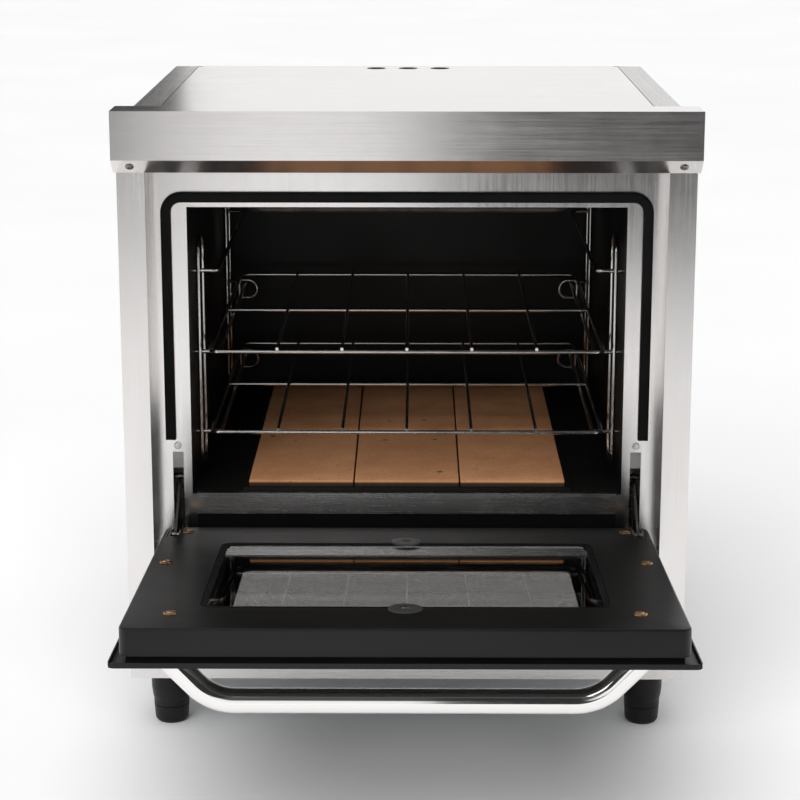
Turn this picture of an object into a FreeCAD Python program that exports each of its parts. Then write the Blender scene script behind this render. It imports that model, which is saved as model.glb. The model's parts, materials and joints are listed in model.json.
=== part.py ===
"""Counter-top deck oven, modelled as the separate pieces it is assembled from.

Millimetres, +Z up. The oven faces -Y and its left side, seen from the front, is at -X. The origin is on the
surface the oven stands on, at the middle of the oven's outline with its door open.

Oven pieces are drawn with Y measured back from the front face of the fascia, and are then moved by front_plane().
Door pieces are drawn as if the door were shut, with the hinge axis as their origin, and are then swung open.
"""
import FreeCAD, Part
import math
import os
import re

import Sketcher

SIZES = (
    # casing
    ("fascia_width", 600.0, "width over the fascia, the widest piece"),
    ("overall_height", 676.0, "floor to the top of the fascia"),
    ("body_depth", 600.0, "fascia face to the back panel"),
    ("sheet_wall", 1.2, "thickness of every folded sheet"),
    ("foot_height", 61.0, "floor to the underside of the casing"),
    ("fascia_height", 50.0, "height of the fascia's face"),
    ("fascia_overhang", 3.0, "fascia beyond each pillar"),
    ("return_drop", 15.0, "fall of the slanted return under the fascia"),
    ("pillar_setback", 18.0, "fascia face to the pillars' face"),
    ("pillar_face", 28.5, "width of a pillar's face"),
    ("casing_inset", 16.5, "side panel inside the pillar's outer edge"),
    ("ledge_depth", 45.0, "depth of the fascia's top ledge"),
    ("recess_depth", 45.0, "pillar face to the frame that the door shuts against"),
    ("top_depth", 446.0, "fascia face to the rear edge of the top panel"),
    ("rear_drop", 26.0, "step down behind the top panel"),
    ("seam_inset", 27.0, "width of a side panel's top flange"),
    ("seam_gap", 0.8, "gap of the seam beside the top panel"),
    ("seam_notch", 5.0, "notch at the rear end of a seam"),
    ("flange_width", 15.0, "rear flange of a side panel"),
    ("vent_diameter", 23.0, "vent hole in the top panel"),
    ("vent_pitch", 38.0, "distance between vent holes"),
    ("vent_inset", 22.0, "vent holes in front of the top panel's rear edge"),
    ("louvre_length", 110.0, "slot in the back panel"),
    ("louvre_height", 5.0, "height of a slot in the back panel"),
    ("louvre_pitch", 16.0, "distance between slots in the back panel"),
    # cavity
    ("cavity_floor", 255.0, "floor to the cavity's floor"),
    ("cavity_headroom", 43.0, "cavity roof under the fascia's return"),
    ("cavity_margin", 16.4, "frame between the cavity and the gasket"),
    ("rear_space", 55.0, "cavity back to the back panel"),
    ("insulation_wall", 32.0, "thickness of the insulation"),
    ("insulation_start", 112.0, "fascia face to the front of the insulation"),
    ("element_room", 10.0, "room for the lower heating element under the cavity"),
    ("sill_height", 22.0, "front lip of the sill"),
    ("sill_depth", 5.0, "sill's reach into the cavity"),
    ("sill_inset", 5.3, "sill inside each side of the cavity"),
    ("duct_width", 130.0, "vent duct across"),
    ("duct_depth", 34.0, "vent duct front to back"),
    # gasket
    ("gasket_width", 10.7, "width of the gasket strip"),
    ("gasket_depth", 6.0, "gasket in front of the frame"),
    ("gasket_lap", 1.0, "gasket beyond the door pan's edge"),
    ("gasket_corner", 21.6, "outer corner radius of the gasket"),
    ("gasket_top_gap", 27.0, "gasket under the fascia's return"),
    ("gasket_leg_end", 61.0, "gasket legs end above the cavity's floor"),
    # door
    ("door_open_angle", 85.5, "swing from shut to open, in degrees"),
    ("hinge_drop", 45.0, "hinge axis under the cavity's floor"),
    ("face_offset", 15.0, "door pan's inner face behind the hinge axis"),
    ("seal_gap", 0.3, "shut door in front of the gasket"),
    ("door_side_gap", 2.5, "door skin to each pillar"),
    ("door_top_gap", 5.0, "shut door under the fascia's return"),
    ("skin_foot", 14.0, "door skin below the hinge axis"),
    ("skin_depth", 5.0, "depth of the door skin's folded rim"),
    ("skin_corner", 6.0, "corner radius of the door skin"),
    ("door_thickness", 35.0, "door skin's face to the pan's inner face"),
    ("pan_inset", 9.0, "pan inside the skin at each side"),
    ("pan_top_inset", 7.0, "pan inside the skin at the top"),
    ("pan_foot", 5.0, "pan's lower edge above the hinge axis"),
    ("pan_depth", 26.0, "depth of the door pan"),
    ("pan_corner", 10.0, "corner radius of the door pan"),
    ("pan_edge", 2.0, "rounding of the pan's inner edge"),
    ("window_side", 66.0, "pan's edge to the window at each side"),
    ("window_end", 69.0, "pan's edge to the window at top and bottom"),
    ("window_corner", 12.0, "corner radius of the window"),
    ("window_well", 7.2, "depth of the well that the inner glass lies in"),
    ("well_lip", 10.0, "lip under the inner glass"),
    ("seal_width", 6.0, "visible width of the window seal"),
    ("seal_thickness", 5.5, "thickness of the window seal"),
    ("glass_thickness", 4.0, "thickness of each pane"),
    ("outer_window_side", 88.5, "pan's edge to the skin's window at each side"),
    ("outer_window_end", 74.0, "pan's edge to the skin's window at top and bottom"),
    ("outer_window_corner", 8.0, "corner radius of the skin's window"),
    ("glass_lap", 10.0, "outer pane behind the skin"),
    ("spacer_inset", 6.0, "inner frame of the door inside the pan's edge"),
    ("spacer_rim", 44.0, "width of the inner frame of the door"),
    ("retainer_diameter", 32.0, "glass retainer"),
    ("retainer_thickness", 1.5, "thickness of a glass retainer"),
    ("retainer_inset", 4.0, "retainer's screw outside the window's edge"),
    ("washer_diameter", 13.0, "cup washer"),
    ("washer_height", 1.6, "height of a cup washer"),
    ("door_screw", 5.0, "diameter of a door screw"),
    ("door_screw_head", 9.0, "head of a door screw"),
    ("low_screw_side", 25.5, "lower door screws from the pan's side"),
    ("low_screw_up", 21.0, "lower door screws from the pan's lower edge"),
    ("middle_screw_side", 16.6, "middle door screws from the pan's side"),
    ("middle_screw_up", 150.0, "middle door screws from the pan's lower edge"),
    ("high_screw_side", 41.7, "upper door screws from the pan's side"),
    ("high_screw_down", 49.0, "upper door screws from the pan's upper edge"),
    # handle
    ("handle_diameter", 23.0, "handle tube"),
    ("handle_wall", 1.5, "wall of the handle tube"),
    ("handle_span", 430.0, "distance between the handle's feet"),
    ("handle_standoff", 40.0, "tube's middle in front of the door skin"),
    ("handle_down", 33.0, "handle below the door skin's upper edge"),
    ("handle_bend", 50.0, "bend radius of the handle"),
    ("handle_plug", 16.0, "solid plug in each end of the handle"),
    ("handle_bolt", 6.0, "handle bolt"),
    # hinge
    ("hinge_inset", 11.5, "hinge inside the pan's side"),
    ("hinge_pin", 6.0, "hinge pin"),
    ("pin_fit", 0.05, "radial clearance of a pin in its bore"),
    ("ear_radius", 8.0, "eye round the hinge pin"),
    ("ear_gap", 5.4, "space between the bracket's two ears"),
    ("ear_wall", 1.3, "thickness of a bracket ear"),
    ("arm_gap", 0.3, "door arm beside the bracket's ear"),
    ("arm_wall", 1.5, "thickness of a door arm's cheek"),
    ("arm_length", 140.0, "door arm above the hinge axis"),
    ("arm_tongue", 22.0, "tongue of a door arm beyond its cheeks"),
    ("tongue_margin", 6.0, "tongue round the screw that holds it"),
    ("arm_front", 4.0, "door arm's cheeks in front of the hinge axis"),
    ("notch_side_gap", 0.6, "pan beside the door arm"),
    ("notch_height", 41.0, "notch in the pan for the door arm"),
    ("slot_bottom", 5.0, "frame's hinge slot below the hinge axis"),
    ("slot_height", 97.0, "frame's hinge slot"),
    ("bracket_width", 25.0, "hinge bracket across"),
    ("bracket_depth", 36.0, "hinge bracket behind the frame"),
    ("bracket_wall", 1.5, "wall of a hinge bracket"),
    ("bracket_foot", 12.0, "hinge bracket below the hinge axis"),
    ("bracket_height", 132.0, "height of a hinge bracket"),
    ("tab_start", 74.0, "bracket's front tab above the hinge axis"),
    ("crank_back", 10.6, "link pin behind the hinge axis, door shut"),
    ("crank_up", 20.8, "link pin above the hinge axis, door shut"),
    ("crank_eye", 5.5, "eye round the link pin"),
    ("link_pin", 5.0, "link pin"),
    ("link_length", 75.0, "link pin to roller pin"),
    ("link_width", 7.0, "width of a link"),
    ("link_thickness", 2.5, "thickness of a link"),
    ("link_eye", 4.8, "rounded end of a link"),
    ("roller_pin", 6.0, "roller pin at the link's upper end"),
    ("guide_back", 38.3, "guide slot behind the hinge axis"),
    ("guide_play", 0.9, "play of the roller pin in its guide slot"),
    ("guide_rise", 31.5, "travel of the roller pin up the guide slot"),
    ("spring_diameter", 11.0, "hinge spring"),
    ("spring_wire", 1.6, "wire of a hinge spring"),
    ("spring_length", 42.0, "length of a hinge spring"),
    ("spring_turns", 13.0, "turns of a hinge spring"),
    ("spring_back", 9.8, "hinge spring behind the guide slot"),
    # racks
    ("rack_wire", 4.5, "frame wire of a rack and of the side frames"),
    ("cross_wire", 3.5, "wires across a rack's frame"),
    ("cross_pitch", 69.5, "distance between the cross wires"),
    ("wire_weld", 0.4, "depth that two welded wires share"),
    ("wire_gap", 0.3, "clearance between a rack and what carries it"),
    ("rack_side_gap", 20.0, "rack frame's wire to the cavity's side"),
    ("rack_front", 21.0, "rack's front bar behind the frame"),
    ("rack_rear_gap", 40.0, "rack's rear bar to the cavity's back"),
    ("rack_corner", 9.0, "corner bend of a rack's frame"),
    ("hook_forward", 35.0, "hook in front of the rack's rear bar"),
    ("hook_reach", 22.0, "hook inside the rack's side wire"),
    ("hook_drop", 22.0, "hook's lower leg under the rack"),
    ("hook_corner", 5.0, "bend of a hook beside the rack's side wire"),
    ("runner_side_gap", 28.0, "runner wire to the cavity's side"),
    ("runner_front", 43.0, "runner's front leg behind the frame"),
    ("runner_rear_gap", 60.0, "runner's rear leg to the cavity's back"),
    ("runner_corner", 7.0, "corner bend of a runner"),
    ("loop_side_gap", 7.0, "side frame's upright wires to the cavity's side"),
    ("loop_depth", 45.0, "depth of a side frame's loop"),
    ("loop_foot", 20.0, "side frame above the cavity's floor"),
    ("loop_head", 42.0, "side frame under the cavity's roof"),
    ("loop_corner", 20.0, "corner bend of a side frame's loop"),
    ("level_first", 58.5, "lowest runner above the cavity's floor"),
    ("level_headroom", 76.0, "highest runner under the cavity's roof"),
    # tile deck
    ("tray_front", 7.0, "tile tray behind the frame"),
    ("tray_rear_gap", 50.0, "tile tray to the cavity's back"),
    ("tray_rim", 5.0, "width of the tray's rim"),
    ("tray_height", 5.0, "height of the tray's rim"),
    ("tile_width", 113.0, "width of a tile"),
    ("tile_thickness", 10.0, "thickness of a tile"),
    ("tile_joint", 1.5, "joint between tiles"),
    ("tile_play", 1.0, "play between the tiles and the rim"),
    # heating
    ("element_diameter", 8.0, "heating element"),
    ("element_bend", 22.0, "bend radius of a heating element"),
    ("element_side_gap", 60.0, "heating element to the cavity's side"),
    ("element_front", 115.0, "front of an element behind the frame"),
    ("element_legs", 70.0, "distance between an element's two legs"),
    ("element_drop", 14.0, "upper element under the cavity's roof"),
    ("element_tail", 28.0, "element's legs behind the cavity"),
    ("element_gap", 0.3, "lower element under the cavity"),
    ("probe_diameter", 6.0, "thermostat probe"),
    ("probe_length", 95.0, "probe's reach into the cavity"),
    ("probe_side", 46.0, "probe to the cavity's right side"),
    ("probe_drop", 40.0, "probe under the cavity's roof"),
    ("bush_diameter", 12.0, "bush that holds the probe"),
    ("wall_clearance", 0.3, "clearance of a part in a hole of the cavity"),
    ("block_width", 64.0, "terminal block across"),
    ("block_height", 22.0, "height of the terminal block"),
    ("block_depth", 30.0, "depth of the terminal block"),
    ("gland_diameter", 28.0, "cable gland's cap"),
    ("gland_reach", 22.0, "cable gland behind the back panel"),
    ("gland_thread", 20.0, "thread of the cable gland"),
    ("gland_bore", 12.0, "cable gland's bore"),
    ("gland_side", 90.0, "cable gland from the casing's middle"),
    ("gland_up", 45.0, "cable gland above the casing's underside"),
    # small fasteners
    ("screw_diameter", 4.0, "casing screw"),
    ("screw_head", 9.0, "head of a casing screw"),
    ("screw_head_height", 2.0, "height of a screw's head"),
    ("screw_length", 9.0, "shank of a casing screw"),
    ("screw_clearance", 0.15, "radial clearance of a screw in its hole"),
    ("fascia_screw_inset", 18.0, "fascia screw from the fascia's end"),
    ("rivet_head", 8.0, "head of a frame rivet"),
    ("rivet_up", 54.0, "frame rivet above the cavity's floor"),
    # feet
    ("foot_side", 39.0, "foot's middle inside the pillar's outer edge"),
    ("foot_front", 55.0, "front feet behind the fascia's face"),
    ("foot_rear_gap", 60.0, "rear feet in front of the back panel"),
    ("sleeve_diameter", 43.5, "upper part of a foot's sleeve"),
    ("sleeve_lower", 38.5, "lower part of a foot's sleeve"),
    ("sleeve_step", 33.0, "length of the sleeve's upper part"),
    ("pad_height", 19.0, "height of a foot's pad"),
    ("pad_gap", 0.4, "pad screwed home, below its sleeve"),
    ("pad_taper", 1.0, "pad's radius lost towards the floor"),
    ("pad_chamfer", 1.5, "chamfer round the pad's foot"),
    ("shank_diameter", 16.0, "threaded shank of a pad"),
    ("shank_length", 28.0, "length of a pad's shank"),
    ("shank_fit", 0.3, "radial clearance of a shank in its sleeve"),
    ("foot_bolt", 8.0, "bolt that holds a foot's sleeve"),
    ("foot_bolt_head", 13.0, "head of a foot bolt"),
    ("foot_bolt_grip", 9.0, "foot bolt's reach into the sleeve"),
)
NAMES = {name for name, size, meaning in SIZES}

doc = FreeCAD.newDocument("DeckOven")
sheet = doc.addObject("Spreadsheet::Sheet", "Sizes")
SIDES = (("left", -1), ("right", 1))
TURN_TO_X = FreeCAD.Rotation(FreeCAD.Vector(0, 1, 0), 90)
TURN_TO_Y = FreeCAD.Rotation(FreeCAD.Vector(1, 0, 0), -90)
NO_TURN = FreeCAD.Rotation()
SUBPARTS = []

# Formulas that many pieces share, written in the sheet's names.
FRONT_HALF = "(fascia_width / 2 - fascia_overhang)"
PILLAR_INNER = f"({FRONT_HALF} - pillar_face)"
CASING_HALF = f"({FRONT_HALF} - casing_inset)"
INSIDE_HALF = f"({CASING_HALF} - sheet_wall)"
PILLAR_TOP = "(overall_height - fascia_height - return_drop)"
REAR_TOP = "(overall_height - rear_drop)"
FRAME_FACE = "(pillar_setback + recess_depth)"
FRAME_BACK = f"({FRAME_FACE} + sheet_wall)"
SKIN_HALF = f"({PILLAR_INNER} - door_side_gap)"
PAN_HALF = f"({SKIN_HALF} - pan_inset)"
GASKET_HALF = f"({PAN_HALF} + gasket_lap)"
CAVITY_HALF = f"({GASKET_HALF} - gasket_width - cavity_margin)"
CAVITY_TOP = f"({PILLAR_TOP} - cavity_headroom)"
CAVITY_BACK = "(body_depth - rear_space)"
HINGE_Y = f"({FRAME_FACE} - gasket_depth - seal_gap - face_offset)"
HINGE_Z = "(cavity_floor - hinge_drop)"
HINGE_HALF = f"({PAN_HALF} - hinge_inset)"
LOWER_TOP = f"({HINGE_Z} - skin_foot - 16)"
SKIN_TOP = f"({PILLAR_TOP} - door_top_gap - {HINGE_Z})"
PAN_TOP = f"({SKIN_TOP} - pan_top_inset)"
PAN_MIDDLE = f"((pan_foot + {PAN_TOP}) / 2)"
PAN_REACH = f"(({PAN_TOP} - pan_foot) / 2)"
SKIN_FACE = "(door_thickness - face_offset)"
PAN_BACK = "(pan_depth - face_offset)"
ARM_HALF = "(ear_gap / 2 + ear_wall + arm_gap + arm_wall)"
LEVEL_PITCH = f"(({CAVITY_TOP} - cavity_floor - level_first - level_headroom) / 2)"
RACK_HALF = f"({CAVITY_HALF} - rack_side_gap)"
RUNNER_HALF = f"({CAVITY_HALF} - runner_side_gap)"
RACK_Y = f"({FRAME_FACE} + rack_front)"
RACK_DEPTH = f"({CAVITY_BACK} - rack_rear_gap - {RACK_Y})"
TRAY_Y = f"({FRAME_FACE} + tray_front)"
TRAY_DEPTH = f"({CAVITY_BACK} - tray_rear_gap - {TRAY_Y})"
TILES_HALF = "(1.5 * tile_width + tile_joint)"
TRAY_HALF = f"({TILES_HALF} + tile_play + tray_rim)"


# ---------------------------------------------------------------- helpers


def linked(formula):
    """Point every size name in a formula at its cell of the sheet."""
    return re.sub(r"[a-z][a-z_]+", lambda found: cell(found.group(0)), formula)


def cell(word):
    return "Sizes." + word if word in NAMES else word


def number(formula):
    """Work out a formula from the sheet as it stands."""
    return float(sheet.evalExpression(linked(formula)))


def bind(item, **formulas):
    for name, formula in formulas.items():
        item.setExpression(name, linked(formula))


def put(item, at, turn=NO_TURN, prefix="Placement"):
    """Turn an object, then tie its place to three formulas."""
    setattr(item, prefix, FreeCAD.Placement(FreeCAD.Vector(), turn))
    for axis, formula in zip("xyz", at):
        item.setExpression(f"{prefix}.Base.{axis}", linked(formula))


def front_plane():
    """Y of the fascia's face that centres the open oven on the origin."""
    reach = f"({SKIN_TOP} * sin(door_open_angle) + {SKIN_FACE} * cos(door_open_angle) - {HINGE_Y})"
    return f"(({reach} - body_depth - gland_reach) / 2)"


def new_body(name):
    return doc.addObject("PartDesign::Body", "body_" + name)


def origin_plane(body, role):
    return next(item for item in body.Origin.OriginFeatures if item.Role == role)


def new_sketch(body, role, offset):
    """Start a sketch parallel to one of the body's own origin planes."""
    sketch = body.newObject("Sketcher::SketchObject", "Sketch")
    sketch.AttachmentSupport = [(origin_plane(body, role), "")]
    sketch.MapMode = "FlatFace"
    sketch.setExpression("AttachmentOffset.Base.z", linked(offset))
    return sketch


def fix_point(sketch, curve, spot, at):
    """Tie one point of a sketch curve to two formulas, measured from the origin."""
    for kind, formula in zip(("DistanceX", "DistanceY"), at):
        rule = sketch.addConstraint(Sketcher.Constraint(kind, -1, 1, curve, spot, number(formula)))
        sketch.setExpression(f"Constraints[{rule}]", linked(formula))


def add_outline(sketch, corners):
    """Draw a closed polygon with its corners at the given pairs of formulas."""
    places = [FreeCAD.Vector(number(across), number(up), 0) for across, up in corners]
    first = sketch.GeometryCount
    count = len(corners)
    for index in range(count):
        line = Part.LineSegment(places[index], places[(index + 1) % count])
        sketch.addGeometry(line, False)
    for index in range(count):
        following = first + (index + 1) % count
        sketch.addConstraint(Sketcher.Constraint("Coincident", first + index, 2, following, 1))
    for index, corner in enumerate(corners):
        fix_point(sketch, first + index, 1, corner)


def add_rectangle(sketch, left, low, right, high):
    add_outline(sketch, ((left, low), (right, low), (right, high), (left, high)))


def add_circle(sketch, diameter, at):
    """Draw a circle with its centre and diameter tied to formulas."""
    centre = FreeCAD.Vector(number(at[0]), number(at[1]), 0)
    circle = Part.Circle(centre, FreeCAD.Vector(0, 0, 1), number(diameter) / 2)
    curve = sketch.addGeometry(circle, False)
    fix_point(sketch, curve, 3, at)
    rule = sketch.addConstraint(Sketcher.Constraint("Diameter", curve, number(diameter)))
    sketch.setExpression(f"Constraints[{rule}]", linked(diameter))


def pad(body, sketch, length, both_ways=False):
    """Extrude along the sketch's normal, or equally to both sides of it."""
    feature = body.newObject("PartDesign::Pad", "Pad")
    feature.Profile = sketch
    feature.Midplane = both_ways
    bind(feature, Length=length)
    doc.recompute()
    return feature


def pocket(body, sketch, length, both_ways=False):
    """Cut along the sketch's normal, or equally to both sides, and check that it cut."""
    before = body.Shape.Volume
    feature = body.newObject("PartDesign::Pocket", "Pocket")
    feature.Profile = sketch
    feature.Midplane = both_ways
    feature.Reversed = not both_ways
    bind(feature, Length=length)
    doc.recompute()
    assert body.Shape.Volume < before - 0.01, body.Name
    return feature


def block(body, sign, low, size):
    """Add (sign +1) or cut away (sign -1) a box with its low corner at three formulas."""
    kind = "PartDesign::AdditiveBox" if sign > 0 else "PartDesign::SubtractiveBox"
    return primitive(body, kind, low, NO_TURN, dict(zip(("Length", "Width", "Height"), size)))


def rod(body, sign, diameter, length, start, turn=NO_TURN):
    """Add or cut away a cylinder that starts at three formulas and runs along its turned Z."""
    kind = "PartDesign::AdditiveCylinder" if sign > 0 else "PartDesign::SubtractiveCylinder"
    return primitive(body, kind, start, turn, {"Radius": f"{diameter} / 2", "Height": length})


def primitive(body, kind, at, turn, formulas):
    feature = body.newObject(kind, "Feature")
    feature.AttachmentSupport = [(origin_plane(body, "XY_Plane"), "")]
    feature.MapMode = "FlatFace"
    put(feature, at, turn, "AttachmentOffset")
    bind(feature, **formulas)
    doc.recompute()
    return feature


def fillet(body, radius, chosen):
    """Round the edges of the body for which chosen() is true."""
    base = body.Tip
    edges = [f"Edge{index + 1}" for index, edge in enumerate(base.Shape.Edges) if chosen(edge)]
    assert edges, body.Name
    feature = body.newObject("PartDesign::Fillet", "Fillet")
    feature.Base = (base, edges)
    bind(feature, Radius=radius)
    doc.recompute()
    return feature


def runs_along_y(edge):
    if not isinstance(edge.Curve, Part.Line):
        return False
    return abs(edge.tangentAt(edge.FirstParameter).y) > 0.999


def in_plane_y(edge, y):
    return abs(edge.BoundBox.YMin - y) < 0.001 and abs(edge.BoundBox.YMax - y) < 0.001


def mirrored(side, inner, outer):
    """Lower X of a span that lies between two distances from the middle, on one side."""
    return f"({inner})" if side > 0 else f"(-({outer}))"


def in_oven(item, node):
    """Register an oven piece and move it from the fascia's face to the shared origin."""
    put(item, ("0", front_plane(), "0"))
    register(item, node)


def in_door(item, node):
    """Register a door piece, swung open about the hinge axis."""
    item.Placement = FreeCAD.Placement(FreeCAD.Vector(), FreeCAD.Rotation(FreeCAD.Vector(1, 0, 0), 80))
    bind(item, **{
        "Placement.Rotation.Angle": "door_open_angle",
        "Placement.Base.y": f"{front_plane()} + {HINGE_Y}",
        "Placement.Base.z": HINGE_Z,
    })
    register(item, node)


def register(item, node):
    item.Label = node
    SUBPARTS.append(item)


def feature_of(shape):
    """Hold a shape made with Part's own functions."""
    item = doc.addObject("Part::Feature", "Made")
    item.Shape = shape
    return item


def cylinder(diameter, length, at, turn=NO_TURN):
    item = doc.addObject("Part::Cylinder", "Cylinder")
    bind(item, Radius=f"{diameter} / 2", Height=length)
    put(item, at, turn)
    return item


def fused(items):
    item = doc.addObject("Part::MultiFuse", "Fusion")
    item.Shapes = items
    return item


def group(items):
    item = doc.addObject("Part::Compound", "Group")
    item.Links = items
    return item


def screw(at, turn, diameter, shank, head, head_height):
    """Screw with the underside of its head at a point and its head along the turned Z."""
    cap = cylinder(head, head_height, ("0", "0", "0"))
    stem = cylinder(diameter, shank, ("0", "0", f"-({shank})"))
    item = fused([cap, stem])
    put(item, at, turn)
    return item


def casing_screw(at, turn):
    return screw(at, turn, "screw_diameter", "screw_length", "screw_head", "screw_head_height")


def rounded_path(points, radius, closed=False):
    """Wire through the points, each corner a tangent arc of the one radius, or of its own from a list."""
    count = len(points)
    radii = radius if isinstance(radius, list) else [radius] * count
    corners = range(count) if closed else range(1, count - 1)
    bends = {}
    for index in corners:
        here = points[index]
        back = (points[index - 1] - here).normalize()
        ahead = (points[(index + 1) % count] - here).normalize()
        half = back.getAngle(ahead) / 2
        bend = radii[index]
        setback = bend / math.tan(half)
        middle = (back + ahead).normalize()
        crest = here + middle * (bend / math.sin(half) - bend)
        bends[index] = (here + back * setback, crest, here + ahead * setback)
    edges = []
    for index in range(count if closed else count - 1):
        following = (index + 1) % count
        start = bends[index][2] if index in bends else points[index]
        end = bends[following][0] if following in bends else points[following]
        if (end - start).Length > 0.001:
            edges.append(Part.LineSegment(start, end).toShape())
        if following in bends:
            edges.append(Part.Arc(*bends[following]).toShape())
    return Part.Wire(edges)


def tube(path, diameter):
    """Solid round wire along a path."""
    first = path.Edges[0]
    start = first.valueAt(first.FirstParameter)
    heading = first.tangentAt(first.FirstParameter)
    ring = Part.Wire(Part.Circle(start, heading, diameter / 2).toShape())
    return path.makePipeShell([ring], True, False)


def straight_wire(start, end, diameter):
    return tube(Part.Wire(Part.LineSegment(start, end).toShape()), diameter)


def welded(shapes):
    """Join wires that share a little depth into one solid."""
    joined = shapes[0].multiFuse(shapes[1:])
    assert len(joined.Solids) == 1, len(joined.Solids)
    return joined.Solids[0]


# ---------------------------------------------------------------- casing


def make_fascia():
    """Folded front with a slanted return, closed at both ends and open at the back."""
    body = new_body("fascia")
    under = "(overall_height - fascia_height)"
    outline = new_sketch(body, "YZ_Plane", "0")
    add_outline(outline, (
        ("0", "overall_height"),
        ("0", under),
        ("pillar_setback", PILLAR_TOP),
        (FRAME_FACE, PILLAR_TOP),
        (FRAME_FACE, f"{PILLAR_TOP} + sheet_wall"),
        ("ledge_depth", f"{PILLAR_TOP} + sheet_wall"),
        ("ledge_depth", "overall_height"),
    ))
    pad(body, outline, "fascia_width", both_ways=True)
    inside = new_sketch(body, "YZ_Plane", "0")
    add_outline(inside, (
        ("sheet_wall", "overall_height - sheet_wall"),
        ("sheet_wall", f"{under} + sheet_wall / 2"),
        ("pillar_setback + sheet_wall / 3", f"{PILLAR_TOP} + sheet_wall"),
        ("ledge_depth + 1", f"{PILLAR_TOP} + sheet_wall"),
        ("ledge_depth + 1", "overall_height - sheet_wall"),
    ))
    pocket(body, inside, "fascia_width - 2 * sheet_wall", both_ways=True)
    for name, side in SIDES:
        at = fascia_screw_place(side)
        hole = "screw_diameter + 2 * screw_clearance"
        rod(body, -1, f"({hole})", "6", at, return_turn())
        rod(body, -1, f"({hole})", "6", at, return_turn().multiply(FreeCAD.Rotation(0, 0, 180)))
    in_oven(body, "fascia")


def return_turn():
    """Turn that points Z out of the slanted return, down and forward."""
    tilt = math.degrees(math.atan2(number("pillar_setback"), number("return_drop")))
    return FreeCAD.Rotation(FreeCAD.Vector(1, 0, 0), 90 + tilt)


def fascia_screw_place(side):
    """Middle of the slanted return, near one end of the fascia."""
    return (
        f"{side} * (fascia_width / 2 - fascia_screw_inset)",
        "pillar_setback / 2",
        f"{PILLAR_TOP} + return_drop / 2",
    )


def make_fascia_screws():
    screws = [casing_screw(fascia_screw_place(side), return_turn()) for name, side in SIDES]
    in_oven(group(screws), "fascia_screws")


def make_pillar(name, side):
    """Folded post: face, inner and outer returns, and a rear lip that meets the side panel."""
    body = new_body("pillar")
    sketch = new_sketch(body, "XY_Plane", "foot_height")
    wall = "sheet_wall"
    corners = (
        (PILLAR_INNER, "pillar_setback"),
        (FRONT_HALF, "pillar_setback"),
        (FRONT_HALF, FRAME_FACE),
        (INSIDE_HALF, FRAME_FACE),
        (INSIDE_HALF, f"{FRAME_FACE} - {wall}"),
        (f"{FRONT_HALF} - {wall}", f"{FRAME_FACE} - {wall}"),
        (f"{FRONT_HALF} - {wall}", f"pillar_setback + {wall}"),
        (f"{PILLAR_INNER} + {wall}", f"pillar_setback + {wall}"),
        (f"{PILLAR_INNER} + {wall}", FRAME_FACE),
        (PILLAR_INNER, FRAME_FACE),
    )
    add_outline(sketch, [(f"{side} * ({across})", back) for across, back in corners])
    pad(body, sketch, f"{PILLAR_TOP} - foot_height")
    in_oven(body, "pillar_" + name)


def make_side_panel(name, side):
    """Side sheet with a stepped outline, a top flange and a rear flange."""
    body = new_body("side_panel")
    sketch = new_sketch(body, "YZ_Plane", mirrored(side, INSIDE_HALF, CASING_HALF))
    add_outline(sketch, (
        (FRAME_FACE, "foot_height"),
        ("body_depth", "foot_height"),
        ("body_depth", REAR_TOP),
        ("top_depth", REAR_TOP),
        ("top_depth", "overall_height"),
        ("ledge_depth", "overall_height"),
        ("ledge_depth", f"{PILLAR_TOP} + sheet_wall"),
        (FRAME_FACE, f"{PILLAR_TOP} + sheet_wall"),
    ))
    pad(body, sketch, "sheet_wall")
    flange = f"{CASING_HALF} - seam_inset"
    low = (mirrored(side, flange, CASING_HALF), "ledge_depth", "overall_height - sheet_wall")
    block(body, 1, low, ("seam_inset", "top_depth - ledge_depth", "sheet_wall"))
    rear = f"{INSIDE_HALF} - flange_width"
    low = (mirrored(side, rear, CASING_HALF), "body_depth - 2 * sheet_wall", "foot_height + sheet_wall")
    block(body, 1, low, (
        "flange_width + sheet_wall",
        "sheet_wall",
        f"{REAR_TOP} - foot_height - 2 * sheet_wall",
    ))
    for place in back_screw_places():
        if place[0] == side:
            screw_hole(body, place)
    in_oven(body, "side_panel_" + name)


def make_top_panel():
    """Middle sheet of the top, notched at its rear corners, with three vent holes."""
    body = new_body("top_panel")
    half = f"({CASING_HALF} - seam_inset - seam_gap)"
    sketch = new_sketch(body, "XY_Plane", "overall_height - sheet_wall")
    add_outline(sketch, (
        (f"-{half}", "ledge_depth"),
        (half, "ledge_depth"),
        (half, "top_depth - seam_notch"),
        (f"{half} - seam_notch", "top_depth - seam_notch"),
        (f"{half} - seam_notch", "top_depth"),
        (f"-({half} - seam_notch)", "top_depth"),
        (f"-({half} - seam_notch)", "top_depth - seam_notch"),
        (f"-{half}", "top_depth - seam_notch"),
    ))
    pad(body, sketch, "sheet_wall")
    holes = new_sketch(body, "XY_Plane", "overall_height - sheet_wall")
    for step in (-1, 0, 1):
        add_circle(holes, "vent_diameter", (f"{step} * vent_pitch", "top_depth - vent_inset"))
    pocket(body, holes, "sheet_wall")
    in_oven(body, "top_panel")


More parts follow.
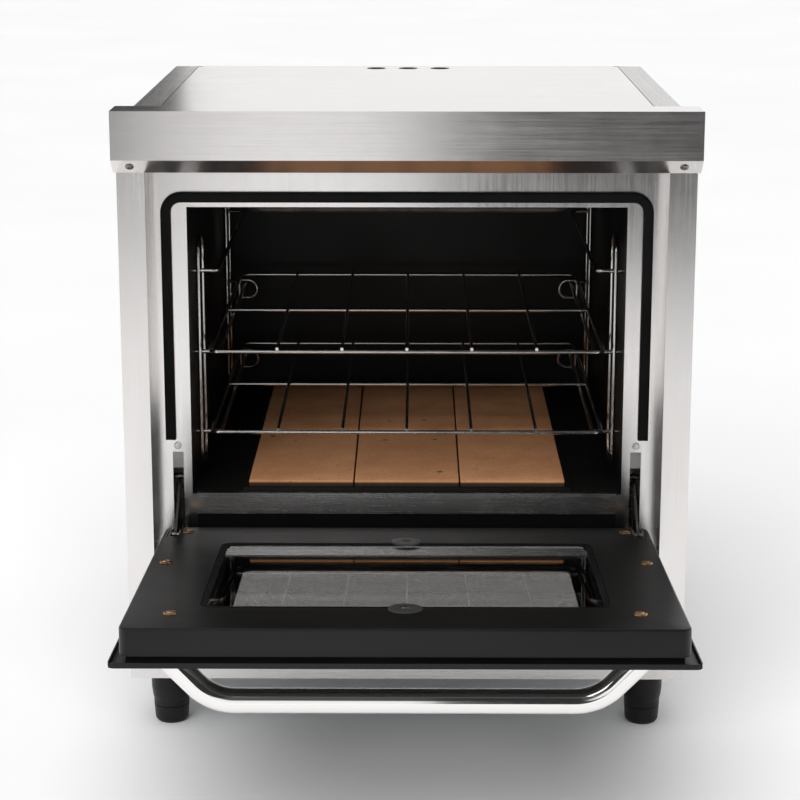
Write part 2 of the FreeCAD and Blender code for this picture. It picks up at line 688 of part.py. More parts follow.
def make_rear_top_cover():
    """Riser and lower top behind the top panel."""
    body = new_body("rear_top_cover")
    sketch = new_sketch(body, "YZ_Plane", "0")
    add_outline(sketch, (
        ("top_depth", "overall_height"),
        ("top_depth", f"{REAR_TOP} - sheet_wall"),
        ("body_depth", f"{REAR_TOP} - sheet_wall"),
        ("body_depth", REAR_TOP),
        ("top_depth + sheet_wall", REAR_TOP),
        ("top_depth + sheet_wall", "overall_height"),
    ))
    pad(body, sketch, f"2 * {INSIDE_HALF}", both_ways=True)
    in_oven(body, "rear_top_cover")


def back_screw_places():
    """Side, and height as a share of the back panel, of each back panel screw."""
    return [(side, share) for name, side in SIDES for share in ("0.08", "0.36", "0.64", "0.92")]


def back_screw_point(place):
    side, share = place
    return (
        f"{side} * ({INSIDE_HALF} - flange_width / 2)",
        "body_depth",
        f"foot_height + {share} * ({REAR_TOP} - foot_height)",
    )


def screw_hole(body, place):
    across, back, up = back_screw_point(place)
    hole = "(screw_diameter + 2 * screw_clearance)"
    rod(body, -1, hole, "4 * sheet_wall", (across, "body_depth - 3 * sheet_wall", up), TURN_TO_Y)


def make_back_panel():
    """Rear sheet with rows of louvre slots, screw holes and the gland's hole."""
    body = new_body("back_panel")
    sketch = new_sketch(body, "XZ_Plane", "-body_depth")
    add_rectangle(sketch, f"-{INSIDE_HALF}", "foot_height + sheet_wall", INSIDE_HALF, f"{REAR_TOP} - sheet_wall")
    pad(body, sketch, "sheet_wall")
    slots = new_sketch(body, "XZ_Plane", "-body_depth")
    for name, side in SIDES:
        for row in range(6):
            middle = f"{side} * louvre_length * 0.7"
            low = f"foot_height + {REAR_TOP} / 5 + {row} * louvre_pitch"
            left = f"{middle} - louvre_length / 2"
            right = f"{middle} + louvre_length / 2"
            add_rectangle(slots, left, low, right, f"{low} + louvre_height")
    pocket(body, slots, "sheet_wall")
    for place in back_screw_places():
        screw_hole(body, place)
    hole = "(gland_thread + 2 * screw_clearance)"
    at = ("gland_side", "body_depth - 2 * sheet_wall", "foot_height + gland_up")
    rod(body, -1, hole, "3 * sheet_wall", at, TURN_TO_Y)
    in_oven(body, "back_panel")


def make_back_screws():
    screws = [casing_screw(back_screw_point(place), TURN_TO_Y) for place in back_screw_places()]
    in_oven(group(screws), "back_panel_screws")


def make_base_panel():
    """Floor of the casing, narrower between the pillars, with a hole for each foot bolt."""
    body = new_body("base_panel")
    sketch = new_sketch(body, "XY_Plane", "foot_height")
    front = "pillar_setback + sheet_wall"
    add_outline(sketch, (
        (f"-{PILLAR_INNER}", front),
        (PILLAR_INNER, front),
        (PILLAR_INNER, FRAME_FACE),
        (INSIDE_HALF, FRAME_FACE),
        (INSIDE_HALF, "body_depth"),
        (f"-{INSIDE_HALF}", "body_depth"),
        (f"-{INSIDE_HALF}", FRAME_FACE),
        (f"-{PILLAR_INNER}", FRAME_FACE),
    ))
    pad(body, sketch, "sheet_wall")
    holes = new_sketch(body, "XY_Plane", "foot_height")
    for across, back in foot_places():
        add_circle(holes, "foot_bolt + 2 * screw_clearance", (across, back))
    pocket(body, holes, "sheet_wall")
    in_oven(body, "base_panel")


def make_lower_front_panel():
    """Panel under the door, with a top flange that reaches back to the frame."""
    body = new_body("lower_front_panel")
    sketch = new_sketch(body, "YZ_Plane", "0")
    add_outline(sketch, (
        ("pillar_setback", "foot_height"),
        ("pillar_setback", LOWER_TOP),
        (FRAME_FACE, LOWER_TOP),
        (FRAME_FACE, f"{LOWER_TOP} - sheet_wall"),
        ("pillar_setback + sheet_wall", f"{LOWER_TOP} - sheet_wall"),
        ("pillar_setback + sheet_wall", "foot_height"),
    ))
    pad(body, sketch, f"2 * {PILLAR_INNER}", both_ways=True)
    in_oven(body, "lower_front_panel")


# ---------------------------------------------------------------- cavity


def make_front_frame():
    """Sheet that the door shuts against, with the cavity's opening and two hinge slots."""
    body = new_body("front_frame")
    sketch = new_sketch(body, "XZ_Plane", f"-{FRAME_BACK}")
    add_rectangle(sketch, f"-{INSIDE_HALF}", "foot_height + sheet_wall", INSIDE_HALF, f"{PILLAR_TOP} + sheet_wall")
    pad(body, sketch, "sheet_wall")
    openings = new_sketch(body, "XZ_Plane", f"-{FRAME_BACK}")
    add_rectangle(openings, f"-{CAVITY_HALF}", "cavity_floor", CAVITY_HALF, CAVITY_TOP)
    for name, side in SIDES:
        low = f"{HINGE_Z} - slot_bottom - ear_radius / 2"
        left = f"{side} * {HINGE_HALF} - {ARM_HALF}"
        right = f"{side} * {HINGE_HALF} + {ARM_HALF}"
        add_rectangle(openings, left, low, right, f"{HINGE_Z} - slot_bottom + slot_height")
    pocket(body, openings, "sheet_wall")
    for name, side in SIDES:
        hole = "(screw_diameter + 2 * screw_clearance)"
        at = (f"{side} * {HINGE_HALF}", f"{FRAME_FACE} - 1", "cavity_floor + rivet_up")
        rod(body, -1, hole, "4", at, TURN_TO_Y)
    in_oven(body, "front_frame")


def make_frame_rivets():
    """Rivets above the hinge slots, with their heads in front of the frame."""
    rivets = []
    for name, side in SIDES:
        at = (f"{side} * {HINGE_HALF}", FRAME_FACE, "cavity_floor + rivet_up")
        turn = FreeCAD.Rotation(FreeCAD.Vector(1, 0, 0), 90)
        rivets.append(screw(at, turn, "screw_diameter", "3 * sheet_wall", "rivet_head", "sheet_wall"))
    in_oven(group(rivets), "frame_rivets")


def make_sill():
    """Lip over the cavity's front edge."""
    body = new_body("sill")
    sketch = new_sketch(body, "YZ_Plane", "0")
    add_outline(sketch, (
        (f"{FRAME_FACE} - sheet_wall", "cavity_floor - sill_height"),
        (f"{FRAME_FACE} - sheet_wall", "cavity_floor + sheet_wall"),
        (f"{FRAME_FACE} + sill_depth", "cavity_floor + sheet_wall"),
        (f"{FRAME_FACE} + sill_depth", "cavity_floor"),
        (FRAME_FACE, "cavity_floor"),
        (FRAME_FACE, "cavity_floor - sill_height"),
    ))
    pad(body, sketch, f"2 * ({CAVITY_HALF} - sill_inset)", both_ways=True)
    in_oven(body, "sill")


def make_door_gasket():
    """Soft strip round the top and sides of the opening."""
    body = new_body("door_gasket")
    inner = f"({GASKET_HALF} - gasket_width)"
    top = f"({PILLAR_TOP} - gasket_top_gap)"
    foot = "(cavity_floor + gasket_leg_end)"
    sketch = new_sketch(body, "XZ_Plane", f"-{FRAME_FACE}")
    add_outline(sketch, (
        (f"-{GASKET_HALF}", foot),
        (f"-{inner}", foot),
        (f"-{inner}", f"{top} - gasket_width"),
        (inner, f"{top} - gasket_width"),
        (inner, foot),
        (GASKET_HALF, foot),
        (GASKET_HALF, top),
        (f"-{GASKET_HALF}", top),
    ))
    pad(body, sketch, "gasket_depth")
    high = number(top)
    low = number(f"{top} - gasket_width")
    fillet(body, "gasket_corner", lambda edge: runs_along_y(edge) and abs(edge.BoundBox.ZMin - high) < 0.01)
    fillet(
        body, "gasket_corner - gasket_width", lambda edge: runs_along_y(edge) and abs(edge.BoundBox.ZMin - low) < 0.01
    )
    front = number(f"{FRAME_FACE} - gasket_depth")
    fillet(body, "gasket_depth * 0.4", lambda edge: in_plane_y(edge, front))
    in_oven(body, "door_gasket")


def make_cavity_liner():
    """Welded inner box, open at the front, with holes for the elements, the probe and the vent."""
    body = new_body("cavity_liner")
    wall = "sheet_wall"
    low = (f"-({CAVITY_HALF} + {wall})", FRAME_BACK, f"cavity_floor - {wall}")
    block(body, 1, low, (
        f"2 * ({CAVITY_HALF} + {wall})",
        f"{CAVITY_BACK} + {wall} - {FRAME_BACK}",
        f"{CAVITY_TOP} - cavity_floor + 2 * {wall}",
    ))
    low = (f"-{CAVITY_HALF}", f"{FRAME_BACK} - 1", "cavity_floor")
    block(body, -1, low, (
        f"2 * {CAVITY_HALF}",
        f"{CAVITY_BACK} - {FRAME_BACK} + 1",
        f"{CAVITY_TOP} - cavity_floor",
    ))
    for side in (-1, 1):
        at = (f"{side} * element_legs / 2", f"{CAVITY_BACK} - 1", f"{CAVITY_TOP} - element_drop")
        rod(body, -1, "(element_diameter + 2 * wall_clearance)", f"{wall} + 2", at, TURN_TO_Y)
    across, back, up = probe_place()
    rod(body, -1, "(bush_diameter + 2 * wall_clearance)", f"{wall} + 2", (across, f"{back} - 1", up), TURN_TO_Y)
    for step in (-1, 0, 1):
        at = (f"{step} * vent_pitch", "top_depth - vent_inset", f"{CAVITY_TOP} - 1")
        rod(body, -1, "(vent_diameter / 2)", f"{wall} + 2", at)
    in_oven(body, "cavity_liner")


def make_insulation():
    """Blanket round five sides of the liner, cut away for the duct and the back wall's fittings."""
    body = new_body("insulation")
    gap = "(sheet_wall + wall_clearance)"
    half = f"({CAVITY_HALF} + {gap})"
    low_z = f"(cavity_floor - {gap} - element_room)"
    back = f"({CAVITY_BACK} + {gap} + insulation_wall - 4)"
    block(body, 1, (f"-({half} + insulation_wall)", "insulation_start", f"{low_z} - insulation_wall"), (
        f"2 * ({half} + insulation_wall)",
        f"{back} - insulation_start",
        f"{CAVITY_TOP} + {gap} - {low_z} + 2 * insulation_wall",
    ))
    block(body, -1, (f"-{half}", "insulation_start - 1", low_z), (
        f"2 * {half}",
        f"{CAVITY_BACK} + {gap} - insulation_start + 1",
        f"{CAVITY_TOP} + {gap} - {low_z}",
    ))
    across = "duct_width + 2 * wall_clearance"
    deep = "duct_depth + 2 * wall_clearance"
    low = (f"-({across}) / 2", f"top_depth - vent_inset - ({deep}) / 2", CAVITY_TOP)
    block(body, -1, low, (across, deep, "2 * insulation_wall"))
    window = "(element_legs + 3 * element_diameter)"
    low = (f"-{window} / 2", CAVITY_BACK, f"{CAVITY_TOP} - element_drop - 1.5 * element_diameter")
    block(body, -1, low, (window, "2 * insulation_wall", "3 * element_diameter"))
    low = (f"-{window} / 2", CAVITY_BACK, f"{low_z} - 1")
    block(body, -1, low, (window, "2 * insulation_wall", "element_room + 1"))
    at, back_wall, up = probe_place()
    rod(body, -1, "(bush_diameter + 4)", "2 * insulation_wall", (at, back_wall, up), TURN_TO_Y)
    in_oven(body, "insulation_blanket")


def make_vent_duct():
    """Rectangular duct from the cavity's roof to the vent holes."""
    low_z = f"({CAVITY_TOP} + sheet_wall)"
    body = new_body("vent_duct")
    low = ("-duct_width / 2", "top_depth - vent_inset - duct_depth / 2", low_z)
    block(body, 1, low, ("duct_width", "duct_depth", f"overall_height - sheet_wall - {low_z}"))
    low = (
        "-duct_width / 2 + sheet_wall",
        "top_depth - vent_inset - duct_depth / 2 + sheet_wall",
        f"{low_z} - 1",
    )
    block(body, -1, low, (
        "duct_width - 2 * sheet_wall",
        "duct_depth - 2 * sheet_wall",
        f"overall_height - sheet_wall - {low_z} + 2",
    ))
    in_oven(body, "vent_duct")


def make_tile_tray():
    """Black tray with a raised rim, standing on the cavity's floor."""
    body = new_body("tile_tray")
    block(body, 1, (f"-{TRAY_HALF}", TRAY_Y, "cavity_floor"), (f"2 * {TRAY_HALF}", TRAY_DEPTH, "tray_height"))
    low = (f"-({TRAY_HALF} - tray_rim)", f"{TRAY_Y} + tray_rim", "cavity_floor + sheet_wall")
    block(body, -1, low, (f"2 * ({TRAY_HALF} - tray_rim)", f"{TRAY_DEPTH} - 2 * tray_rim", "tray_height"))
    in_oven(body, "tile_tray")


def make_deck_tiles():
    """Two rows of three loose fire-clay tiles."""
    length = f"(({TRAY_DEPTH} - 2 * (tray_rim + tile_play) - tile_joint) / 2)"
    tiles = []
    for row in range(2):
        for column in range(3):
            item = doc.addObject("Part::Box", "Tile")
            bind(item, Length="tile_width", Width=length, Height="tile_thickness")
            put(item, (
                f"-{TILES_HALF} + {column} * (tile_width + tile_joint)",
                f"{TRAY_Y} + tray_rim + tile_play + {row} * ({length} + tile_joint)",
                "cavity_floor + sheet_wall",
            ))
            tiles.append(item)
    in_oven(group(tiles), "deck_tiles")


def element_shape(up, tail):
    """Tube bent into three long bays, with both legs leaving at the back."""
    legs = number("element_legs / 2")
    edge = number(f"{CAVITY_HALF} - element_side_gap")
    front = number(f"{FRAME_FACE} + element_front")
    turn_back = number(f"{CAVITY_BACK} - element_side_gap")
    bay = legs + 2 * number("element_bend")
    points = [
        (-legs, tail), (-legs, front), (-bay, front), (-bay, turn_back), (-edge, turn_back), (-edge, front - 40),
        (edge, front - 40), (edge, turn_back), (bay, turn_back), (bay, front), (legs, front), (legs, tail),
    ]
    path = rounded_path([FreeCAD.Vector(x, y, up) for x, y in points], number("element_bend") * 0.9)
    return tube(path, number("element_diameter"))


def make_elements():
    """Upper element hung in the cavity, lower element clamped under its floor."""
    tail = number(f"{CAVITY_BACK} + element_tail")
    high = number(f"{CAVITY_TOP} - element_drop")
    in_oven(feature_of(element_shape(high, tail)), "top_element")
    low = number("cavity_floor - sheet_wall - element_gap - element_diameter / 2")
    in_oven(feature_of(element_shape(low, tail)), "bottom_element")


def probe_place():
    return (f"{CAVITY_HALF} - probe_side", CAVITY_BACK, f"{CAVITY_TOP} - probe_drop")


def make_probe():
    """Thermostat probe, held in the back wall by a bush with a collar."""
    across, back, up = probe_place()
    stem = cylinder("probe_diameter", "probe_length + 20", (across, f"{back} - probe_length", up), TURN_TO_Y)
    bush = cylinder("bush_diameter", "14", (across, f"{back} - 6", up), TURN_TO_Y)
    collar = cylinder("(bush_diameter + 5)", "2", (across, f"{back} - 2 - wall_clearance", up), TURN_TO_Y)
    in_oven(fused([stem, bush, collar]), "thermostat_probe")


def make_terminal_block():
    """Three-way block on the casing's floor."""
    body = new_body("terminal_block")
    rear = "(body_depth - 60)"
    low = ("gland_side - block_width / 2", f"{rear} - block_depth", "foot_height + sheet_wall")
    block(body, 1, low, ("block_width", "block_depth", "block_height"))
    for way in range(3):
        across = f"gland_side + ({way} - 1) * block_width / 3 - block_width / 8"
        low = (across, f"{rear} - block_depth - 1", "foot_height + sheet_wall + block_height / 2")
        block(body, -1, low, ("block_width / 4", "block_depth / 3 + 1", "block_height"))
    in_oven(body, "terminal_block")


def make_gland():
    """Cable gland in the back panel, with its cap outside and its nut inside."""
    body = new_body("cable_gland")
    up = "foot_height + gland_up"
    rod(body, 1, "gland_diameter", "gland_reach", ("gland_side", "body_depth", up), TURN_TO_Y)
    at = ("gland_side", "body_depth - sheet_wall - 12", up)
    rod(body, 1, "gland_thread", "sheet_wall + 12.5", at, TURN_TO_Y)
    at = ("gland_side", "body_depth - sheet_wall - wall_clearance - 5", up)
    rod(body, 1, "(gland_diameter - 2)", "5", at, TURN_TO_Y)
    at = ("gland_side", "body_depth - 30", up)
    rod(body, -1, "gland_bore", "gland_reach + 40", at, TURN_TO_Y)
    in_oven(body, "cable_gland")


# ---------------------------------------------------------------- side frames and racks


def level_height(level):
    """Runner height of a level, counted from 0 at the bottom."""
    return number(f"cavity_floor + level_first + {level} * {LEVEL_PITCH}")


def make_side_frame(name, side):
    """Two upright loops joined by three U-shaped runners."""
    wire = number("rack_wire")
    reach = wire - number("wire_weld")
    loop_x = side * number(f"{CAVITY_HALF} - loop_side_gap")
    foot = number("cavity_floor + loop_foot")
    head = number(f"{CAVITY_TOP} - loop_head")
    depth = number("loop_depth")
    leg_front = number(f"{FRAME_FACE} + runner_front")
    leg_rear = number(f"{CAVITY_BACK} - runner_rear_gap")
    shapes = []
    for start in (leg_front - reach, leg_rear + reach - depth):
        corners = [(start, foot), (start, head), (start + depth, head), (start + depth, foot)]
        points = [FreeCAD.Vector(loop_x, y, z) for y, z in corners]
        middle = (points[0] + points[1]) * 0.5
        path = rounded_path([middle] + points[1:] + [points[0], middle], number("loop_corner"))
        shapes.append(tube(path, wire))
    wall_x = side * number(f"{CAVITY_HALF} - wire_gap")
    run_x = side * number(RUNNER_HALF)
    for level in range(3):
        up = level_height(level)
        corners = [(wall_x, leg_front), (run_x, leg_front), (run_x, leg_rear), (wall_x, leg_rear)]
        path = rounded_path([FreeCAD.Vector(x, y, up) for x, y in corners], number("runner_corner"))
        shapes.append(tube(path, wire))
    in_oven(feature_of(welded(shapes)), "side_frame_" + name)


def rack_shape():
    """Rack drawn with the middle of its front bar as origin."""
    wire = number("rack_wire")
    cross = number("cross_wire")
    weld = number("wire_weld")
    half = number(RACK_HALF)
    depth = number(RACK_DEPTH)
    corners = [(0, 0), (half, 0), (half, depth), (-half, depth), (-half, 0), (0, 0)]
    frame = rounded_path([FreeCAD.Vector(x, y, 0) for x, y in corners], number("rack_corner"))
    shapes = [tube(frame, wire)]
    middle = depth / 2
    shapes.append(straight_wire(FreeCAD.Vector(-half, middle, 0), FreeCAD.Vector(half, middle, 0), wire))
    lift = (wire + cross) / 2 - weld
    for step in range(-2, 3):
        across = step * number("cross_pitch")
        start = FreeCAD.Vector(across, -cross, lift)
        end = FreeCAD.Vector(across, depth + wire / 2, lift)
        shapes.append(straight_wire(start, end, cross))
    hook_y = depth - number("hook_forward")
    inner = half - number("hook_reach")
    drop = number("hook_drop")
    nose = drop / 2 - number("wire_gap")
    corner = number("hook_corner")
    for side in (-1, 1):
        corners = [(half, -drop / 2), (half, 0), (inner, 0), (inner, -drop), (half, -drop), (half, -drop / 2)]
        points = [FreeCAD.Vector(side * x, hook_y, z) for x, z in corners]
        shapes.append(tube(rounded_path(points, [0, corner, nose, nose, corner, 0]), wire))
    return welded(shapes)


def make_rack(node, level):
    """Place a rack on the runners of its level."""
    item = feature_of(rack_shape())
    item.Placement = FreeCAD.Placement(
        FreeCAD.Vector(
            0,
            number(f"{front_plane()} + {RACK_Y}"),
            level_height(level) + number("rack_wire + wire_gap"),
        ),
        NO_TURN,
    )
    register(item, node)


# ---------------------------------------------------------------- door


def make_door_skin():
    """Outer face of the door with a folded rim, a window and two handle bolt holes."""
    body = new_body("door_skin")
    sketch = new_sketch(body, "XZ_Plane", f"{SKIN_FACE} - skin_depth")
    add_rectangle(sketch, f"-{SKIN_HALF}", "-skin_foot", SKIN_HALF, SKIN_TOP)
    pad(body, sketch, "skin_depth")
    fillet(body, "skin_corner", runs_along_y)
    half = f"({SKIN_HALF} - sheet_wall)"
    low = (f"-{half}", f"-{SKIN_FACE} + sheet_wall", "-skin_foot + sheet_wall")
    block(body, -1, low, (f"2 * {half}", "skin_depth", f"{SKIN_TOP} + skin_foot - 2 * sheet_wall"))
    window = new_sketch(body, "XZ_Plane", f"{SKIN_FACE} - sheet_wall")
    across = f"({PAN_HALF} - outer_window_side)"
    along = f"({PAN_REACH} - outer_window_end)"
    add_rectangle(window, f"-{across}", f"{PAN_MIDDLE} - {along}", across, f"{PAN_MIDDLE} + {along}")
    pocket(body, window, "sheet_wall")
    inside = number(across) + 0.01
    fillet(body, "outer_window_corner", lambda edge: runs_along_y(edge) and abs(edge.BoundBox.XMin) < inside)
    for name, side in SIDES:
        at = handle_foot(side)
        rod(body, -1, "(handle_bolt + 2 * screw_clearance)", "2 * sheet_wall", (at[0], f"{at[1]} - 1", at[2]), TURN_TO_Y)
    in_door(body, "door_skin")


def handle_foot(side):
    return (f"{side} * handle_span / 2", f"-{SKIN_FACE}", f"{SKIN_TOP} - handle_down")


def make_door_spacer():
    """Ring between the skin and the pan, which the door screws bite into."""
    body = new_body("door_spacer")
    half = f"({PAN_HALF} - spacer_inset)"
    reach = f"({PAN_REACH} - spacer_inset)"
    thickness = f"({SKIN_FACE} - sheet_wall - {PAN_BACK})"
    low = (f"-{half}", f"-{SKIN_FACE} + sheet_wall", f"{PAN_MIDDLE} - {reach}")
    block(body, 1, low, (f"2 * {half}", thickness, f"2 * {reach}"))
    low = (
        f"-({half} - spacer_rim)",
        f"-{SKIN_FACE}",
        f"{PAN_MIDDLE} - ({reach} - spacer_rim)",
    )
    block(body, -1, low, (f"2 * ({half} - spacer_rim)", "door_thickness", f"2 * ({reach} - spacer_rim)"))
    for at in door_screw_places():
        rod(body, -1, "(door_screw + 2 * screw_clearance)", thickness, (at[0], f"-{PAN_BACK} - {thickness}", at[2]), TURN_TO_Y)
    for name, side in SIDES:
        at = handle_foot(side)
        rod(body, -1, "(2 * handle_bolt + 4)", "door_thickness", at, TURN_TO_Y)
    in_door(body, "door_spacer")


def door_screw_places():
    """Points on the pan's inner face, at the head of each door screw."""
    rows = (
        ("low_screw_side", "pan_foot + low_screw_up"),
        ("middle_screw_side", "pan_foot + middle_screw_up"),
        ("high_screw_side", f"{PAN_TOP} - high_screw_down"),
    )
    return [(f"{side} * ({PAN_HALF} - {inset})", "face_offset", up) for inset, up in rows for name, side in SIDES]


def retainer_places():
    """Points on the pan's inner face, just outside the window's lower and upper edges."""
    reach = f"({PAN_REACH} - window_end + retainer_inset)"
    return [("0", "face_offset", f"{PAN_MIDDLE} + {sign} * {reach}") for sign in (-1, 1)]


def make_door_pan():
    """Black inner tray of the door, with a well for the glass and notches for the hinge arms."""
    body = new_body("door_pan")
    wall = "sheet_wall"
    sketch = new_sketch(body, "XZ_Plane", "-face_offset")
    add_rectangle(sketch, f"-{PAN_HALF}", "pan_foot", PAN_HALF, PAN_TOP)
    pad(body, sketch, "pan_depth")
    fillet(body, "pan_corner", runs_along_y)
    face = number("face_offset")
    fillet(body, "pan_edge", lambda edge: in_plane_y(edge, face))
    half = f"({PAN_HALF} - {wall} - pan_edge)"
    low = (f"-{half}", f"-{PAN_BACK} - 1", f"pan_foot + {wall} + pan_edge")
    deep = f"pan_depth - {wall} - pan_edge + 1"
    block(body, -1, low, (f"2 * {half}", deep, f"{PAN_TOP} - pan_foot - 2 * ({wall} + pan_edge)"))
    hollow = new_sketch(body, "XZ_Plane", "-face_offset + sheet_wall + pan_edge")
    add_rectangle(
        hollow, f"-{half} + pan_edge", f"pan_foot + {wall} + 2 * pan_edge",
        f"{half} - pan_edge", f"{PAN_TOP} - {wall} - 2 * pan_edge",
    )
    deepen = body.newObject("PartDesign::Pocket", "Pocket")
    deepen.Profile = hollow
    bind(deepen, Length="pan_edge")
    doc.recompute()
    across = f"({PAN_HALF} - window_side)"
    along = f"({PAN_REACH} - window_end)"
    low = (f"-({across} + {wall})", "face_offset - window_well", f"{PAN_MIDDLE} - {along} - {wall}")
    block(body, 1, low, (f"2 * ({across} + {wall})", "window_well", f"2 * ({along} + {wall})"))
    well = new_sketch(body, "XZ_Plane", f"-face_offset + window_well - {wall}")
    add_rectangle(well, f"-{across}", f"{PAN_MIDDLE} - {along}", across, f"{PAN_MIDDLE} + {along}")
    cut = body.newObject("PartDesign::Pocket", "Pocket")
    cut.Profile = well
    bind(cut, Length="window_well")
    doc.recompute()
    corner = number(across)
    fillet(body, "window_corner", lambda edge: runs_along_y(edge) and abs(abs(edge.BoundBox.XMin) - corner) < 0.01)
    low = (f"-({across} - well_lip)", "0", f"{PAN_MIDDLE} - {along} + well_lip")
    block(body, -1, low, (f"2 * ({across} - well_lip)", "door_thickness", f"2 * ({along} - well_lip)"))
    for name, side in SIDES:
        notch = f"({ARM_HALF} + notch_side_gap)"
        low = (f"{side} * {HINGE_HALF} - {notch}", "-ear_radius - 1", "pan_foot - 1")
        block(body, -1, low, (f"2 * {notch}", "door_thickness", "notch_height + 1"))
    for at in door_screw_places():
        rod(body, -1, "(door_screw + 2 * screw_clearance)", "10", (at[0], "face_offset - 5", at[2]), TURN_TO_Y)
    for at in retainer_places():
        rod(body, -1, "(screw_diameter + 2 * screw_clearance)", "6", (at[0], "face_offset - 3", at[2]), TURN_TO_Y)
    in_door(body, "door_pan")


def rounded_pane(node, half, reach, thickness, low_y, corner):
    """Flat pane with rounded corners, centred on the door pan."""
    body = new_body(node)
    sketch = new_sketch(body, "XZ_Plane", f"-({low_y}) - {thickness}")
    add_rectangle(sketch, f"-{half}", f"{PAN_MIDDLE} - {reach}", half, f"{PAN_MIDDLE} + {reach}")
    pad(body, sketch, thickness)
    fillet(body, corner, runs_along_y)
    return body


SEAL_HALF = f"({PAN_HALF} - window_side - wire_gap)"
SEAL_REACH = f"({PAN_REACH} - window_end - wire_gap)"
SEAL_BACK = "(face_offset - window_well + sheet_wall)"
PANE_HALF = f"({SEAL_HALF} - seal_width)"
PANE_REACH = f"({SEAL_REACH} - seal_width)"


def make_window_seal():
    """Black rubber ring between the well and the inner pane."""
    body = rounded_pane(
        "window_seal", SEAL_HALF, SEAL_REACH, "seal_thickness", SEAL_BACK, "(window_corner - wire_gap)"
    )
    opening = new_sketch(body, "XZ_Plane", f"-{SEAL_BACK} - seal_thickness")
    add_rectangle(opening, f"-{PANE_HALF}", f"{PAN_MIDDLE} - {PANE_REACH}", PANE_HALF, f"{PAN_MIDDLE} + {PANE_REACH}")
    cut = body.newObject("PartDesign::Pocket", "Pocket")
    cut.Profile = opening
    cut.Reversed = True
    bind(cut, Length="seal_thickness")
    doc.recompute()
    inner = number(PANE_HALF) + 0.01
    fillet(
        body, "(window_corner - wire_gap - seal_width / 2)",
        lambda edge: runs_along_y(edge) and abs(edge.BoundBox.XMin) < inner,
    )
    in_door(body, "window_seal")


def make_inner_glass():
    gap = "wire_gap / 3"
    body = rounded_pane(
        "inner_glass", f"({PANE_HALF} - {gap})", f"({PANE_REACH} - {gap})", "glass_thickness",
        f"{SEAL_BACK} + wire_gap", "(window_corner - seal_width / 2)",
    )
    in_door(body, "inner_glass")


def make_outer_glass():
    half = f"({PAN_HALF} - outer_window_side + glass_lap)"
    reach = f"({PAN_REACH} - outer_window_end + glass_lap)"
    low_y = f"-{SKIN_FACE} + sheet_wall"
    body = rounded_pane("outer_glass", half, reach, "glass_thickness", low_y, "outer_window_corner")
    in_door(body, "outer_glass")


def make_retainers():
    """Round plates that hold the inner pane in its well, and their screws."""
    plates = []
    screws = []
    for at in retainer_places():
        body = new_body("retainer")
        rod(body, 1, "retainer_diameter", "retainer_thickness", at, TURN_TO_Y)
        hole = "(screw_diameter + 2 * screw_clearance)"
        rod(body, -1, hole, "retainer_thickness + 2", (at[0], f"{at[1]} - 1", at[2]), TURN_TO_Y)
        plates.append(body)
        top = (at[0], "face_offset + retainer_thickness", at[2])
        screws.append(screw(top, TURN_TO_Y, "screw_diameter", "screw_length", "screw_head * 0.8", "screw_head_height / 2"))
    in_door(group(plates), "glass_retainers")
    in_door(group(screws), "retainer_screws")


def make_door_screws():
    """Six long screws through the pan, each on a cup washer."""
    washers = []
    screws = []
    grip = f"(washer_height + pan_depth + ({SKIN_FACE} - sheet_wall - {PAN_BACK}) / 2)"
    for at in door_screw_places():
        body = new_body("washer")
        rod(body, 1, "washer_diameter", "washer_height", at, TURN_TO_Y)
        hole = "(door_screw + 2 * screw_clearance)"
        rod(body, -1, hole, "washer_height + 2", (at[0], f"{at[1]} - 1", at[2]), TURN_TO_Y)
        washers.append(body)
        top = (at[0], "face_offset + washer_height", at[2])
        screws.append(screw(top, TURN_TO_Y, "door_screw", grip, "door_screw_head", "washer_height / 2"))
    in_door(group(washers), "cup_washers")
    in_door(group(screws), "door_screws")


def handle_path(extra):
    """Centre line of the handle, its legs lengthened by extra beyond the skin."""
    half = number("handle_span / 2")
    face = -number(SKIN_FACE)
    out = face - number("handle_standoff")
    up = number(f"{SKIN_TOP} - handle_down")
    drop = face - out
    points = [
        FreeCAD.Vector(-half - extra, face + extra, up),
        FreeCAD.Vector(-half + drop, out, up),
        FreeCAD.Vector(half - drop, out, up),
        FreeCAD.Vector(half + extra, face + extra, up),
    ]
    return rounded_path(points, number("handle_bend"))


def make_handle():
    """Bent tube cut flush with the skin, its ends plugged and tapped for the bolts."""
    diameter = number("handle_diameter")
    outer = tube(handle_path(diameter), diameter)
    bore = tube(handle_path(-number("handle_plug")), diameter - 2 * number("handle_wall"))
    half = number("handle_span")
    face = -number(SKIN_FACE)
    beyond = Part.makeBox(2 * half, 4 * diameter, 4 * diameter, FreeCAD.Vector(-half, face, number(SKIN_TOP) - 100))
    shape = outer.cut(beyond).cut(bore)
    for name, side in SIDES:
        across, back, up = (number(formula) for formula in handle_foot(side))
        radius = number("handle_bolt / 2 + screw_clearance")
        start = FreeCAD.Vector(across, back + 1, up)
        shape = shape.cut(Part.makeCylinder(radius, 10, start, FreeCAD.Vector(0, -1, 0)))
    in_door(feature_of(shape.Solids[0]), "handle_tube")


def make_handle_bolts():
    """Bolts through the skin into the handle's plugs, with their heads inside the door."""
    bolts = []
    for name, side in SIDES:
        at = handle_foot(side)
        start = (at[0], f"{at[1]} + sheet_wall", at[2])
        bolts.append(screw(start, TURN_TO_Y, "handle_bolt", "8", "1.7 * handle_bolt", "0.7 * handle_bolt"))
    in_door(group(bolts), "handle_bolts")


# ---------------------------------------------------------------- hinges


